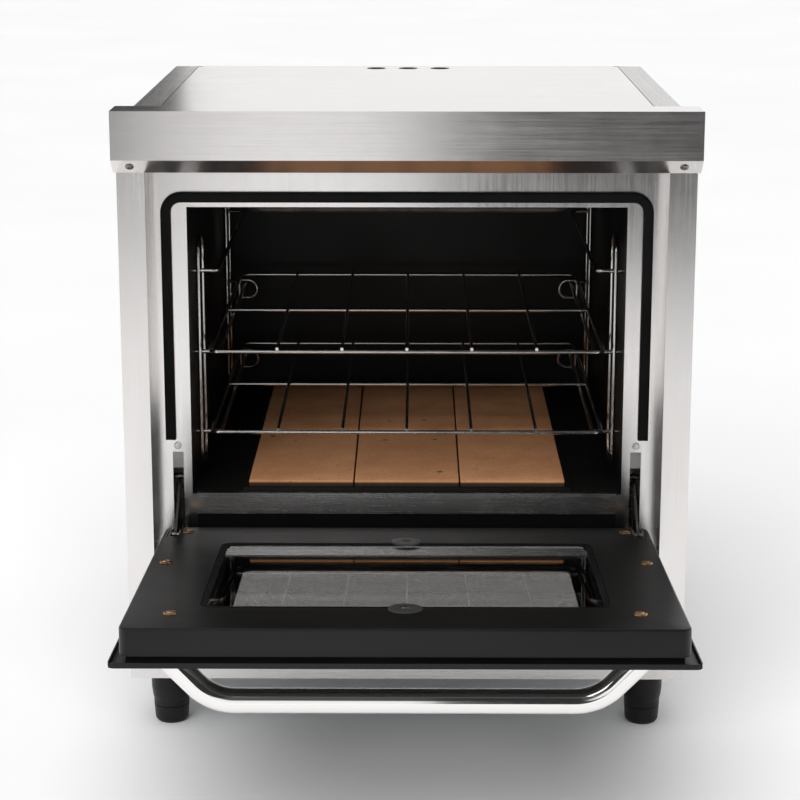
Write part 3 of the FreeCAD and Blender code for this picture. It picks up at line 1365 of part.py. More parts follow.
def make_hinge_bracket(name, side):
    """Box behind the frame with two ears through its slot and a guide slot in each cheek."""
    body = new_body("hinge_bracket")
    middle = f"{side} * {HINGE_HALF}"
    wall = "bracket_wall"
    foot = f"({HINGE_Z} - bracket_foot)"
    low = (f"{middle} - bracket_width / 2", FRAME_BACK, foot)
    block(body, 1, low, ("bracket_width", "bracket_depth", "bracket_height"))
    low = (f"{middle} - bracket_width / 2 + {wall}", f"{FRAME_BACK} - 1", f"{foot} + {wall}")
    size = (f"bracket_width - 2 * {wall}", f"bracket_depth - {wall} + 1", f"bracket_height - 2 * {wall}")
    block(body, -1, low, size)
    low = (f"{middle} - bracket_width / 2 + 1", FRAME_BACK, f"{HINGE_Z} + tab_start")
    block(body, 1, low, ("bracket_width - 2", wall, f"bracket_height - bracket_foot - tab_start - {wall} / 2"))
    for cheek in (-1, 1):
        low_x = f"{middle} + {mirrored(cheek, 'ear_gap / 2', 'ear_gap / 2 + ear_wall')}"
        back = f"{FRAME_BACK} + bracket_depth - {wall} / 2"
        low = (low_x, HINGE_Y, f"{HINGE_Z} - ear_radius")
        block(body, 1, low, ("ear_wall", f"{back} - {HINGE_Y}", "2 * ear_radius"))
        rod(body, 1, "(2 * ear_radius)", "ear_wall", (low_x, HINGE_Y, HINGE_Z), TURN_TO_X)
    bore = "(hinge_pin + 2 * pin_fit)"
    rod(body, -1, bore, "bracket_width", (f"{middle} - bracket_width / 2", HINGE_Y, HINGE_Z), TURN_TO_X)
    hole = "(screw_diameter + 2 * screw_clearance)"
    rod(body, -1, hole, f"2 * {wall}", (middle, f"{FRAME_BACK} - 1", "cavity_floor + rivet_up"), TURN_TO_Y)
    slot = "(roller_pin + 2 * guide_play)"
    low = (f"{middle} - bracket_width", f"{HINGE_Y} + guide_back - {slot} / 2", f"{open_roller_height()} - {slot} / 2")
    block(body, -1, low, ("2 * bracket_width", slot, f"guide_rise + {slot}"))
    in_oven(body, "hinge_bracket_" + name)


def open_crank():
    """Link pin from the hinge axis with the door open, as Y and Z formulas."""
    turn = "door_open_angle"
    back = f"(crank_back * cos({turn}) - crank_up * sin({turn}))"
    up = f"(crank_back * sin({turn}) + crank_up * cos({turn}))"
    return back, up


def link_lean():
    """Angle of an open hinge's link from the vertical, in degrees."""
    back, up = open_crank()
    return f"asin((guide_back - {back}) / link_length)"


def open_roller_height():
    back, up = open_crank()
    return f"({HINGE_Z} + {up} + link_length * cos({link_lean()}))"


def make_hinge_pins():
    """Hinge pins with a head outside each cheek of the door's arms."""
    pins = []
    for name, side in SIDES:
        half = f"({ARM_HALF} + arm_gap)"
        start = (f"{side} * {HINGE_HALF} - {half}", HINGE_Y, HINGE_Z)
        shank = cylinder("hinge_pin", f"2 * {half}", start, TURN_TO_X)
        heads = []
        for end in (-1, 1):
            at = (f"{side} * {HINGE_HALF} + {mirrored(end, half, half + ' + 0.8')}", HINGE_Y, HINGE_Z)
            heads.append(cylinder("(hinge_pin + 2)", "0.8", at, TURN_TO_X))
        pins.append(fused([shank] + heads))
    in_oven(group(pins), "hinge_pins")


def make_hinge_arm(name, side):
    """Two cheeks and a web that carry the door on the hinge pin and the link pin."""
    body = new_body("hinge_arm")
    middle = f"{side} * {HINGE_HALF}"
    back = "(face_offset - sheet_wall)"
    for cheek in (-1, 1):
        low_x = f"{middle} + {mirrored(cheek, ARM_HALF + ' - arm_wall', ARM_HALF)}"
        block(body, 1, (low_x, "-arm_front", "0"), ("arm_wall", f"{back} + arm_front", "arm_length"))
        rod(body, 1, "(2 * ear_radius)", "arm_wall", (low_x, "0", "0"), TURN_TO_X)
        rod(body, 1, "(2 * crank_eye)", "arm_wall", (low_x, "crank_back", "crank_up"), TURN_TO_X)
        if cheek < 0:
            web = (f"{middle} - {ARM_HALF}", f"{back} - arm_wall", "pan_foot + notch_height + 4")
            size = (f"2 * {ARM_HALF}", "arm_wall", "arm_length + arm_tongue - pan_foot - notch_height - 4")
            block(body, 1, web, size)
    screw_x = f"({PAN_HALF} - middle_screw_side)"
    reach = f"({HINGE_HALF} + {ARM_HALF} - {screw_x} + tongue_margin)"
    low = (mirrored(side, f"{screw_x} - tongue_margin", f"{HINGE_HALF} + {ARM_HALF}"), f"{back} - arm_wall", "arm_length")
    block(body, 1, low, (reach, "arm_wall", "arm_tongue"))
    for bore, at_y, at_z in (("hinge_pin", "0", "0"), ("link_pin", "crank_back", "crank_up")):
        rod(body, -1, f"({bore} + 2 * pin_fit)", "bracket_width", (f"{middle} - bracket_width / 2", at_y, at_z), TURN_TO_X)
    at = (f"{side} * {screw_x}", f"{back} - 4", "pan_foot + middle_screw_up")
    rod(body, -1, "(door_screw + 2 * screw_clearance)", "8", at, TURN_TO_Y)
    in_door(body, "hinge_arm_" + name)


def make_link_pins():
    """Pins that join the links to the door's arms."""
    pins = []
    for name, side in SIDES:
        half = f"({ARM_HALF} + arm_gap)"
        start = (f"{side} * {HINGE_HALF} - {half}", "crank_back", "crank_up")
        pins.append(cylinder("link_pin", f"2 * {half}", start, TURN_TO_X))
    in_door(group(pins), "link_pins")


def make_hinge_link(name, side):
    """Flat bar from the link pin up to a roller pin that rides in the bracket's guide slots."""
    body = new_body("hinge_link")
    half = "link_thickness / 2"
    block(body, 1, (f"-{half}", "-link_width / 2", "0"), ("link_thickness", "link_width", "link_length"))
    for up in ("0", "link_length"):
        rod(body, 1, "(2 * link_eye)", "link_thickness", (f"-{half}", "0", up), TURN_TO_X)
    rod(body, 1, "roller_pin", "bracket_width - 0.6", ("-bracket_width / 2 + 0.3", "0", "link_length"), TURN_TO_X)
    rod(body, -1, "(link_pin + 2 * pin_fit)", "link_thickness + 2", (f"-{half} - 1", "0", "0"), TURN_TO_X)
    back, up = open_crank()
    body.Placement = FreeCAD.Placement(FreeCAD.Vector(), FreeCAD.Rotation(FreeCAD.Vector(-1, 0, 0), 45))
    bind(body, **{
        "Placement.Rotation.Angle": link_lean(),
        "Placement.Base.x": f"{side} * {HINGE_HALF}",
        "Placement.Base.y": f"{front_plane()} + {HINGE_Y} + {back}",
        "Placement.Base.z": f"{HINGE_Z} + {up}",
    })
    register(body, "hinge_link_" + name)


def make_hinge_spring(name, side):
    """Upright coil spring that stands on its bracket's ear."""
    wire = number("spring_wire")
    length = number("spring_length") - wire
    radius = (number("spring_diameter") - wire) / 2
    back = number(f"{HINGE_Y} + guide_back + spring_back")
    foot = number(f"{HINGE_Z} + ear_radius + wire_gap") + wire / 2
    helix = Part.makeHelix(length / number("spring_turns"), length, radius)
    ring = Part.Wire(Part.Circle(FreeCAD.Vector(radius, 0, 0), FreeCAD.Vector(0, 1, 0), wire / 2).toShape())
    spring = Part.Wire(helix.Edges).makePipeShell([ring], True, True)
    spring.translate(FreeCAD.Vector(side * number(HINGE_HALF), back, foot))
    in_oven(feature_of(Part.makeCompound([spring])), "hinge_spring_" + name)


# ---------------------------------------------------------------- feet


def foot_places():
    """X and Y of the four feet: front pair, then rear pair."""
    rows = ("foot_front", "body_depth - foot_rear_gap")
    return [(f"{side} * ({FRONT_HALF} - foot_side)", back) for back in rows for name, side in SIDES]


def make_foot_sleeves():
    """Stepped plastic sleeves under the casing, bored from below for the pads' shanks."""
    sleeves = []
    for across, back in foot_places():
        body = new_body("foot_sleeve")
        rod(body, 1, "sleeve_diameter", "sleeve_step", (across, back, "foot_height - sleeve_step"))
        rest = "foot_height - sleeve_step - pad_height - pad_gap"
        rod(body, 1, "sleeve_lower", rest, (across, back, "pad_height + pad_gap"))
        bore = "(shank_diameter + 2 * shank_fit)"
        rod(body, -1, bore, "shank_length + 3", (across, back, "pad_height"))
        hole = "(foot_bolt + 2 * screw_clearance)"
        rod(body, -1, hole, "foot_bolt_grip + 1", (across, back, "foot_height - foot_bolt_grip"))
        sleeves.append(body)
    in_oven(group(sleeves), "foot_sleeves")


def make_foot_bolts():
    """Bolts through the casing's floor into the sleeves."""
    bolts = []
    for across, back in foot_places():
        at = (across, back, "foot_height + sheet_wall")
        grip = "foot_bolt_grip + sheet_wall - 1"
        bolts.append(screw(at, NO_TURN, "foot_bolt", f"({grip})", "foot_bolt_head", "foot_bolt / 2"))
    in_oven(group(bolts), "foot_bolts")


def make_foot_pads():
    """Screw-in pads, each with its threaded shank moulded on."""
    names = ("front_left", "front_right", "rear_left", "rear_right")
    for name, (across, back) in zip(names, foot_places()):
        body = new_body("foot_pad")
        cone = "PartDesign::AdditiveCone"
        top = "(sleeve_lower / 2)"
        at = ("0", "0", "pad_chamfer")
        primitive(body, cone, at, NO_TURN, {
            "Radius1": f"{top} - pad_taper", "Radius2": top, "Height": "pad_height - pad_chamfer",
        })
        primitive(body, cone, ("0", "0", "0"), NO_TURN, {
            "Radius1": f"{top} - pad_taper - pad_chamfer", "Radius2": f"{top} - pad_taper", "Height": "pad_chamfer",
        })
        rod(body, 1, "shank_diameter", "shank_length", ("0", "0", "pad_height"))
        put(body, (across, f"{front_plane()} + {back}", "0"))
        register(body, "foot_pad_" + name)


# ---------------------------------------------------------------- assembly


def fill_sheet():
    for row, (name, size, meaning) in enumerate(SIZES, start=1):
        sheet.set(f"A{row}", meaning)
        sheet.set(f"B{row}", str(size))
        sheet.setAlias(f"B{row}", name)
    doc.recompute()


def build():
    fill_sheet()
    make_fascia()
    make_fascia_screws()
    make_top_panel()
    make_rear_top_cover()
    make_back_panel()
    make_back_screws()
    make_base_panel()
    make_lower_front_panel()
    make_front_frame()
    make_frame_rivets()
    make_sill()
    make_door_gasket()
    make_cavity_liner()
    make_insulation()
    make_vent_duct()
    make_tile_tray()
    make_deck_tiles()
    make_elements()
    make_probe()
    make_terminal_block()
    make_gland()
    for name, side in SIDES:
        make_pillar(name, side)
        make_side_panel(name, side)
        make_side_frame(name, side)
        make_hinge_bracket(name, side)
        make_hinge_arm(name, side)
        make_hinge_link(name, side)
        make_hinge_spring(name, side)
    make_hinge_pins()
    make_link_pins()
    make_rack("rack_upper", 1)
    make_rack("rack_lower", 0)
    make_door_skin()
    make_door_spacer()
    make_door_pan()
    make_window_seal()
    make_inner_glass()
    make_outer_glass()
    make_retainers()
    make_door_screws()
    make_handle()
    make_handle_bolts()
    make_foot_sleeves()
    make_foot_bolts()
    make_foot_pads()
    doc.recompute()


def check():
    """Stop on any failed object or unsound sub-part."""
    for item in doc.Objects:
        bad = {"Invalid", "Error"} & set(item.State)
        assert not bad, (item.Name, item.Label, item.State)
    labels = [item.Label for item in SUBPARTS]
    assert len(labels) == len(set(labels)), "two sub-parts share a name"
    for item in SUBPARTS:
        assert not item.Shape.isNull() and item.Shape.isValid(), item.Label
        assert item.Shape.Solids, item.Label


def export():
    os.makedirs("parts", exist_ok=True)
    for item in SUBPARTS:
        item.Shape.exportStep(f"parts/{item.Label}.step")
    print(len(SUBPARTS), "sub-parts written")


build()
check()
export()
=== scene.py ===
"""Finishes, turned and moulded small parts, and a studio for a counter-top deck oven."""
import json
import math

import bmesh
import bpy
from bpy.props import FloatProperty, FloatVectorProperty, IntProperty, PointerProperty
from mathutils import Matrix, Vector


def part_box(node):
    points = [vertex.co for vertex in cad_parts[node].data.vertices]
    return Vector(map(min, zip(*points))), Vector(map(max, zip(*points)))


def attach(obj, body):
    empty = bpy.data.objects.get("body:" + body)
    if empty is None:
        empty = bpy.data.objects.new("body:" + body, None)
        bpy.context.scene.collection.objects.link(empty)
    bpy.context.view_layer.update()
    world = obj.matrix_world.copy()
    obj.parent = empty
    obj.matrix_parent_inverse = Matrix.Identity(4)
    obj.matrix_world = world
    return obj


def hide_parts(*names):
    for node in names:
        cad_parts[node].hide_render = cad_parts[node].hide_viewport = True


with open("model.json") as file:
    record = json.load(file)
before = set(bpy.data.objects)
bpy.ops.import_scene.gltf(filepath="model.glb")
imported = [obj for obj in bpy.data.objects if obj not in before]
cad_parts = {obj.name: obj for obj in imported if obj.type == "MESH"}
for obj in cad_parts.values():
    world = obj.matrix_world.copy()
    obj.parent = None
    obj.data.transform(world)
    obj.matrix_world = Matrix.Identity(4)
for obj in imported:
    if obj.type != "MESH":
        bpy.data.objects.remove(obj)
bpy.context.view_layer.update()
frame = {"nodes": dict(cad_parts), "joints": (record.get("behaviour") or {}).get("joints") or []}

bl_info = {
    "name": "Deck Oven Finisher",
    "version": (1, 0, 0),
    "blender": (4, 5, 0),
    "location": "3D View > Sidebar > Deck Oven",
    "description": "Dresses a deck oven in steel, enamel, wire, clay, rubber and glass, and lights it",
    "category": "Object",
}

NODES = frame["nodes"]
JOINTS = {joint["name"]: joint for joint in frame["joints"]}
HINGE = Vector(JOINTS["door_hinge"]["pos_m"])
SWING = math.radians(JOINTS["door_hinge"]["range_deg"][1])
DOOR_UP = Vector((0, math.cos(SWING), math.sin(SWING)))
MM = 0.001
JOIN = 0.002 * MM
FOLD = math.radians(28)
# Near black used as painted shade on the front frame's lower band.
SHADE_BLACK = (0.004, 0.004, 0.004)


# ---------------------------------------------------------------- settings


def length(name, description, default):
    return FloatProperty(name=name, description=description, default=default, unit="LENGTH", precision=5)


def colour(name, description, default):
    return FloatVectorProperty(
        name=name, description=description, default=default, size=3, subtype="COLOR", min=0, max=1
    )


def share(name, description, default):
    return FloatProperty(name=name, description=description, default=default, min=0, max=1, subtype="FACTOR")


class OvenColours(bpy.types.PropertyGroup):
    """Colours and gloss of the oven's finishes."""

    steel: colour("Steel", "Brushed stainless steel of the casing", (0.83, 0.81, 0.80))
    galvanised: colour("Galvanised", "Zinc-coated sheet at the back and underneath", (0.50, 0.52, 0.54))
    zinc: colour("Zinc", "Plating of hinges and screws", (0.52, 0.51, 0.49))
    enamel: colour("Enamel", "Black enamel of the cavity, tray and door pan", (0.004, 0.0038, 0.0036))
    rubber: colour("Rubber", "Gasket and window seal", (0.003, 0.003, 0.003))
    clay: colour("Fire clay", "Body colour of the deck's tiles", (0.44, 0.195, 0.088))
    clay_pale: colour("Pale clay", "Sandy patches of the tiles", (0.68, 0.36, 0.185))
    wool: colour("Mineral wool", "Insulation round the cavity", (0.62, 0.55, 0.34))
    brass: colour("Brass", "Cup washers of the door", (0.58, 0.30, 0.13))
    plastic: colour("Black plastic", "Feet and cable gland", (0.005, 0.005, 0.005))
    glass: colour("Glass", "Tint of the panes", (0.72, 0.725, 0.72))
    steel_gloss: share("Steel roughness", "Roughness of the brushed casing", 0.25)
    enamel_gloss: share("Enamel roughness", "Roughness of the black enamel", 0.34)


class OvenSizes(bpy.types.PropertyGroup):
    """Sizes of the small parts."""

    tile_edge: length("Tile edge", "Worn rounding along a tile's edges", 1.4 * MM)
    tile_wave: length("Tile unevenness", "Height of the uneven top of a tile", 0.25 * MM)
    recess: length("Screw recess", "Width of a cross recess in a small screw", 1.1 * MM)
    knurls: IntProperty(
        name="Gland ribs", description="Ribs round the gland's cap", default=18, min=6, max=48
    )


class OvenStudio(bpy.types.PropertyGroup):
    """Camera, lights and floor."""

    eye: FloatVectorProperty(
        name="Camera place", description="Where the camera stands", default=(0.0082, -2.2787, 0.9388),
        size=3, subtype="TRANSLATION",
    )
    tilt: FloatProperty(
        name="Tilt", description="Camera's tilt below the horizon", default=math.radians(12.98),
        subtype="ANGLE",
    )
    pan: FloatProperty(
        name="Pan", description="Camera's turn to the left", default=math.radians(0.4), subtype="ANGLE"
    )
    lens: FloatProperty(name="Lens", description="Focal length in millimetres", default=96.2, min=20, max=300)
    rise: FloatProperty(
        name="Rise", description="Vertical shift of the camera", default=-0.08, min=-0.2, max=0.2
    )
    sky: share("Studio brightness", "Brightness of the white surround", 1.0)
    sun: FloatProperty(name="Sun", description="Strength of the overhead light", default=2.4, min=0, max=10)


def colours():
    return bpy.context.scene.oven_colours


def sizes():
    return bpy.context.scene.oven_sizes


# ---------------------------------------------------------------- shader maths


class Signal:
    """A shader socket that can be used in a sum. Every node is added through make()."""

    def __init__(self, socket):
        self.socket = socket

    @staticmethod
    def make(tree, kind, settings=None, inputs=None, output=0):
        """Add a node, apply its settings first, then feed its sockets with values or links."""
        node = tree.nodes.new(kind)
        for name, value in (settings or {}).items():
            if name == "stops":
                ramp = node.color_ramp
                while len(ramp.elements) < len(value):
                    ramp.elements.new(0.5)
                for element, (place, shade) in zip(ramp.elements, value):
                    element.position = place
                    element.color = shade if len(shade) == 4 else (*shade, 1)
            else:
                setattr(node, name, value)
        for name, value in (inputs or {}).items():
            if isinstance(value, Signal):
                tree.links.new(value.socket, node.inputs[name])
            else:
                node.inputs[name].default_value = value
        return Signal(node.outputs[output])

    def maths(self, operation, first, second=0.0):
        tree = self.socket.id_data
        return Signal.make(tree, "ShaderNodeMath", {"operation": operation}, {0: first, 1: second})

    def __add__(self, other):
        return self.maths("ADD", self, other)

    __radd__ = __add__

    def __sub__(self, other):
        return self.maths("SUBTRACT", self, other)

    def __rsub__(self, other):
        return self.maths("SUBTRACT", other, self)

    def __mul__(self, other):
        return self.maths("MULTIPLY", self, other)

    __rmul__ = __mul__

    def __abs__(self):
        return self.maths("ABSOLUTE", self)


class Finish:
    """A material whose patterns are laid out on Object coordinates, in metres."""

    def __init__(self, name):
        self.material = bpy.data.materials.new(name)
        self.material.use_nodes = True
        self.tree = self.material.node_tree
        self.shader = self.tree.nodes["Principled BSDF"]
        self.place = self.add("ShaderNodeTexCoord", output="Object")

    def add(self, kind, settings=None, inputs=None, output=0):
        return Signal.make(self.tree, kind, settings, inputs, output)

    def mapped(self, scale):
        return self.add("ShaderNodeMapping", {}, {"Vector": self.place, "Scale": scale})

    def noise(self, scale, detail=2.0, roughness=0.5, stretch=(1, 1, 1)):
        inputs = {"Vector": self.mapped(stretch), "Scale": scale, "Detail": detail, "Roughness": roughness}
        return self.add("ShaderNodeTexNoise", {}, inputs)

    def specks(self, scale, size):
        """1 inside scattered round specks, 0 between them."""
        inputs = {"Vector": self.mapped((1, 1, 1)), "Scale": scale, "Randomness": 1.0}
        near = self.add("ShaderNodeTexVoronoi", {"feature": "F1"}, inputs)
        return near.maths("LESS_THAN", near, size)

    def mix(self, factor, first, second):
        inputs = {0: factor, 6: first if isinstance(first, Signal) else (*first, 1)}
        inputs[7] = second if isinstance(second, Signal) else (*second, 1)
        return self.add("ShaderNodeMix", {"data_type": "RGBA"}, inputs, output=2)

    def spread(self, value, low, high):
        """Stretch a noise's middle range over a span of results."""
        inputs = {0: value, 1: 0.3, 2: 0.7, 3: low, 4: high}
        return self.add("ShaderNodeMapRange", {"clamp": True}, inputs)

    def bump(self, height, distance, strength=1.0):
        inputs = {"Height": height, "Distance": distance, "Strength": strength}
        self.feed(Normal=self.add("ShaderNodeBump", {}, inputs))

    def set(self, **values):
        """Set constants on the shader's own sockets. Underscores stand for spaces."""
        for name, value in values.items():
            self.shader.inputs[name.replace("_", " ")].default_value = value

    def feed(self, **signals):
        for name, signal in signals.items():
            self.tree.links.new(signal.socket, self.shader.inputs[name.replace("_", " ")])


# ---------------------------------------------------------------- finishes


def brushed(name, tone, along, roughness, streak=0.05, grain=1.0, mask=None):
    """Steel rubbed in one direction: hairlines, longer faint bands, a soft cloudiness and handling marks."""
    finish = Finish(name)
    hair = {"X": (9, 900, 900), "Y": (900, 9, 900), "Z": (900, 900, 9)}[along]
    broad = {"X": (2, 110, 110), "Y": (110, 2, 110), "Z": (110, 110, 2)}[along]
    lines = finish.noise(1.0, 2.0, 0.5, hair)
    bands = finish.noise(1.0, 3.0, 0.6, broad)
    cloud = finish.noise(2.6, 2.0, 0.5)
    marks = finish.noise(31.0, 5.0, 0.7)
    dark = tuple(channel * (1 - 1.6 * streak) for channel in tone)
    light = tuple(min(1.0, channel * (1 + streak)) for channel in tone)
    warm = (light[0], light[1] * 0.985, light[2] * 0.975)
    sheet = finish.mix(finish.spread(cloud, 0.0, 1.0), light, warm)
    wear = finish.spread(lines * 0.4 + bands * 0.35 + marks * 0.25, 0.0, 1.0)
    finish.feed(Base_Color=finish.mix(wear, dark, sheet))
    rough = finish.spread(lines, roughness * 0.88, roughness * 1.14) + finish.spread(cloud, -0.02, 0.02)
    finish.feed(Roughness=rough + finish.spread(marks, -0.012, 0.02))
    finish.bump(lines * 0.6 + marks * 0.4, 0.000004 * grain, 0.4)
    finish.set(Metallic=1.0)
    if mask:
        mask(finish)
    return finish.material


def plated(name, tone, roughness):
    """Bright plating with slight haze and pinhead dulling."""
    finish = Finish(name)
    haze = finish.noise(40.0, 3.0, 0.6)
    fine = finish.noise(420.0, 2.0, 0.5)
    dull = tuple(channel * 0.78 for channel in tone)
    finish.feed(Base_Color=finish.mix(finish.spread(haze, 0, 1), dull, tone))
    dulling = finish.spread(haze, roughness * 0.7, roughness * 1.5)
    finish.feed(Roughness=dulling + finish.spread(fine, 0, 0.03))
    finish.bump(fine, 0.00002, 0.4)
    finish.set(Metallic=1.0)
    return finish.material


def spangled(name, tone):
    """Galvanised sheet: angular zinc crystals of slightly different grey."""
    finish = Finish(name)
    inputs = {"Vector": finish.mapped((1, 1, 1)), "Scale": 95.0, "Randomness": 1.0}
    crystals = finish.add("ShaderNodeTexVoronoi", {"feature": "F1"}, inputs, output="Color")
    value = finish.add("ShaderNodeSeparateColor", {}, {"Color": crystals})
    cloud = finish.noise(5.0, 3.0, 0.5)
    dark = tuple(channel * 0.72 for channel in tone)
    light = tuple(min(1.0, channel * 1.15) for channel in tone)
    finish.feed(Base_Color=finish.mix(value * 0.6 + cloud * 0.4, dark, light))
    finish.feed(Roughness=value * 0.16 + finish.spread(cloud, 0.30, 0.42))
    finish.bump(value, 0.00002, 0.5)
    finish.set(Metallic=1.0)
    return finish.material


def enamelled(name, tone, roughness, peel=1.0):
    """Fired black enamel with orange peel, faint pale dust and soft wear."""
    finish = Finish(name)
    peel_noise = finish.noise(260.0, 2.0, 0.5)
    cloud = finish.noise(7.0, 4.0, 0.6)
    dust = finish.specks(900.0, 0.10)
    pale = tuple(channel * 1.6 + 0.002 for channel in tone)
    base = finish.mix(finish.spread(cloud, 0, 0.7), tone, pale)
    finish.feed(Base_Color=finish.mix(dust * 0.2, base, (0.05, 0.048, 0.045)))
    wear = finish.spread(cloud, roughness * 0.86, roughness * 1.18)
    finish.feed(Roughness=wear + finish.spread(peel_noise, 0, 0.03))
    finish.bump(peel_noise * 0.7 + cloud * 0.3, 0.00005 * peel, 0.35)
    finish.set(Specular_IOR_Level=0.34)
    return finish.material


def moulded(name, tone, roughness, grain=520.0):
    """Injection-moulded plastic with a fine spark-eroded grain."""
    finish = Finish(name)
    fine = finish.noise(grain, 3.0, 0.6)
    cloud = finish.noise(18.0, 3.0, 0.5)
    pale = tuple(channel * 1.5 + 0.002 for channel in tone)
    finish.feed(Base_Color=finish.mix(finish.spread(cloud, 0, 1), tone, pale))
    wear = finish.spread(fine, roughness * 0.85, roughness * 1.2)
    finish.feed(Roughness=wear + finish.spread(cloud, -0.03, 0.03))
    finish.bump(fine, 0.00008, 0.5)
    finish.set(Specular_IOR_Level=0.25)
    return finish.material


def rubbery(name, tone):
    """Extruded silicone with lengthwise drag marks and talc."""
    finish = Finish(name)
    fine = finish.noise(700.0, 3.0, 0.6)
    cloud = finish.noise(22.0, 4.0, 0.6)
    talc = tuple(channel + 0.006 for channel in tone)
    finish.feed(Base_Color=finish.mix(finish.spread(cloud, 0, 0.8), tone, talc))
    finish.feed(Roughness=finish.spread(cloud, 0.55, 0.72) + finish.spread(fine, -0.03, 0.03))
    finish.bump(fine, 0.00006, 0.6)
    finish.set(Specular_IOR_Level=0.12)
    return finish.material


def fired_clay(name, body, pale, top):
    """Chamotte tile: sandy grain, warm blotches, dark iron specks and open pores, with painted shade on its
    sides below the top.
    """
    finish = Finish(name)
    each = finish.add("ShaderNodeAttribute", {"attribute_name": "tile_tone"}, {}, output="Fac")
    blotch = finish.noise(22.0, 5.0, 0.62)
    sand = finish.noise(520.0, 3.0, 0.7)
    drift = finish.noise(8.0, 3.0, 0.5)
    iron = finish.specks(70.0, 0.085)
    soot = finish.specks(15.0, 0.055)
    pores = finish.specks(260.0, 0.16)
    tone = finish.mix(finish.spread(blotch * 0.6 + drift * 0.4, 0, 1), body, pale)
    tone = finish.mix(finish.spread(sand, 0, 0.45), tone, tuple(channel * 0.62 for channel in body))
    tone = finish.mix(each * 0.35, tone, tuple(channel * 0.55 for channel in body))
    tone = finish.mix(iron * finish.spread(drift, 0.1, 0.9), tone, (0.035, 0.018, 0.012))
    tone = finish.mix(soot * 0.75, tone, (0.05, 0.028, 0.02))
    tone = finish.mix(pores * 0.4, tone, (0.09, 0.04, 0.02))
    # Painted shade: the tile's sides below the top fade to near black, standing in for their shadow.
    depth = finish.add("ShaderNodeSeparateXYZ", {}, {"Vector": finish.place}, output="Z")
    side_shade_span = {0: depth, 1: top - 3.2 * MM, 2: top - 1.2 * MM, 3: 0.94, 4: 0.0}
    below = finish.add("ShaderNodeMapRange", {}, side_shade_span)
    finish.feed(Base_Color=finish.mix(below, tone, (0.012, 0.009, 0.008)))
    finish.feed(Roughness=finish.spread(sand, 0.78, 0.94))
    finish.bump(sand * 0.5 + blotch * 0.3 - pores * 0.5, 0.00025, 0.6)
    finish.set(Specular_IOR_Level=0.25)
    return finish.material


def woolly(name, tone):
    """Felted mineral wool: matted fibres with darker binder."""
    finish = Finish(name)
    fibres = finish.noise(260.0, 6.0, 0.75, (1, 1, 3))
    mats = finish.noise(30.0, 4.0, 0.6)
    dark = tuple(channel * 0.55 for channel in tone)
    finish.feed(Base_Color=finish.mix(finish.spread(fibres * 0.6 + mats * 0.4, 0, 1), dark, tone))
    finish.feed(Roughness=finish.spread(fibres, 0.88, 1.0))
    finish.bump(fibres, 0.0012, 0.9)
    finish.set(Specular_IOR_Level=0.1)
    return finish.material


def scaled(name):
    """Heating element sheath, browned by use."""
    finish = Finish(name)
    cloud = finish.noise(34.0, 5.0, 0.65)
    fine = finish.noise(380.0, 3.0, 0.6)
    finish.feed(Base_Color=finish.mix(finish.spread(cloud, 0, 1), (0.035, 0.032, 0.034), (0.16, 0.13, 0.11)))
    finish.feed(Roughness=finish.spread(cloud, 0.38, 0.62) + finish.spread(fine, -0.04, 0.04))
    finish.bump(fine, 0.00008, 0.6)
    finish.set(Metallic=0.75)
    return finish.material


def pane(name, tint):
    """Clear oven glass with faint wipe marks."""
    finish = Finish(name)
    wipes = finish.noise(9.0, 4.0, 0.6, (1, 3, 1))
    finish.feed(Roughness=finish.spread(wipes, 0.0, 0.035))
    finish.set(Base_Color=(*tint, 1), Transmission_Weight=1.0, IOR=1.52)
    return finish.material


def floor_paint(name):
    """Pale studio floor, very slightly uneven."""
    finish = Finish(name)
    cloud = finish.noise(1.3, 3.0, 0.5)
    finish.feed(Base_Color=finish.mix(finish.spread(cloud, 0, 1), (0.93, 0.93, 0.93), (0.96, 0.96, 0.96)))
    finish.feed(Roughness=finish.spread(cloud, 0.55, 0.65))
    return finish.material


# ---------------------------------------------------------------- meshes


def dress(material, *names):
    """Give CAD nodes a finish, with soft shading over curves and crisp folds."""
    for name in names:
        node = NODES[name]
        node.data.materials.clear()
        node.data.materials.append(material)
        node.data.shade_smooth()
        weld = node.modifiers.new("Join corners", "WELD")
        weld.merge_threshold = JOIN
        crease = node.modifiers.new("Crisp folds", "EDGE_SPLIT")
        crease.use_edge_angle = True
        crease.split_angle = FOLD


def islands(name):
    """Corners of each separate solid in a CAD node, with doubles merged."""
    mesh = bmesh.new()
    mesh.from_mesh(NODES[name].data)
    bmesh.ops.remove_doubles(mesh, verts=mesh.verts, dist=JOIN)
    left = set(mesh.verts)
    found = []
    while left:
        edge = [left.pop()]
        group = []
        while edge:
            vert = edge.pop()
            group.append(vert.co.copy())
            for link in vert.link_edges:
                other = link.other_vert(vert)
                if other in left:
                    left.remove(other)
                    edge.append(other)
        found.append(group)
    mesh.free()
    return sorted(found, key=lambda group: tuple(round(value, 4) for value in middle(group)))


def corners(group):
    low = Vector(min(point[axis] for point in group) for axis in range(3))
    high = Vector(max(point[axis] for point in group) for axis in range(3))
    return low, high


def middle(group):
    low, high = corners(group)
    return (low + high) / 2


def spun(mesh, profile, steps=40):
    """Turn a profile of (radius, height) pairs about Z into a closed shape."""
    rows = [mesh.verts.new((radius, 0, height)) for radius, height in profile]
    edges = [mesh.edges.new(pair) for pair in zip(rows, rows[1:])]
    bmesh.ops.spin(
        mesh, geom=rows + edges, cent=(0, 0, 0), axis=(0, 0, 1), angle=math.tau, steps=steps, use_merge=True,
        use_duplicate=False,
    )


def in_mm(*profile):
    """A profile given in millimetres."""
    return [(radius * MM, height * MM) for radius, height in profile]


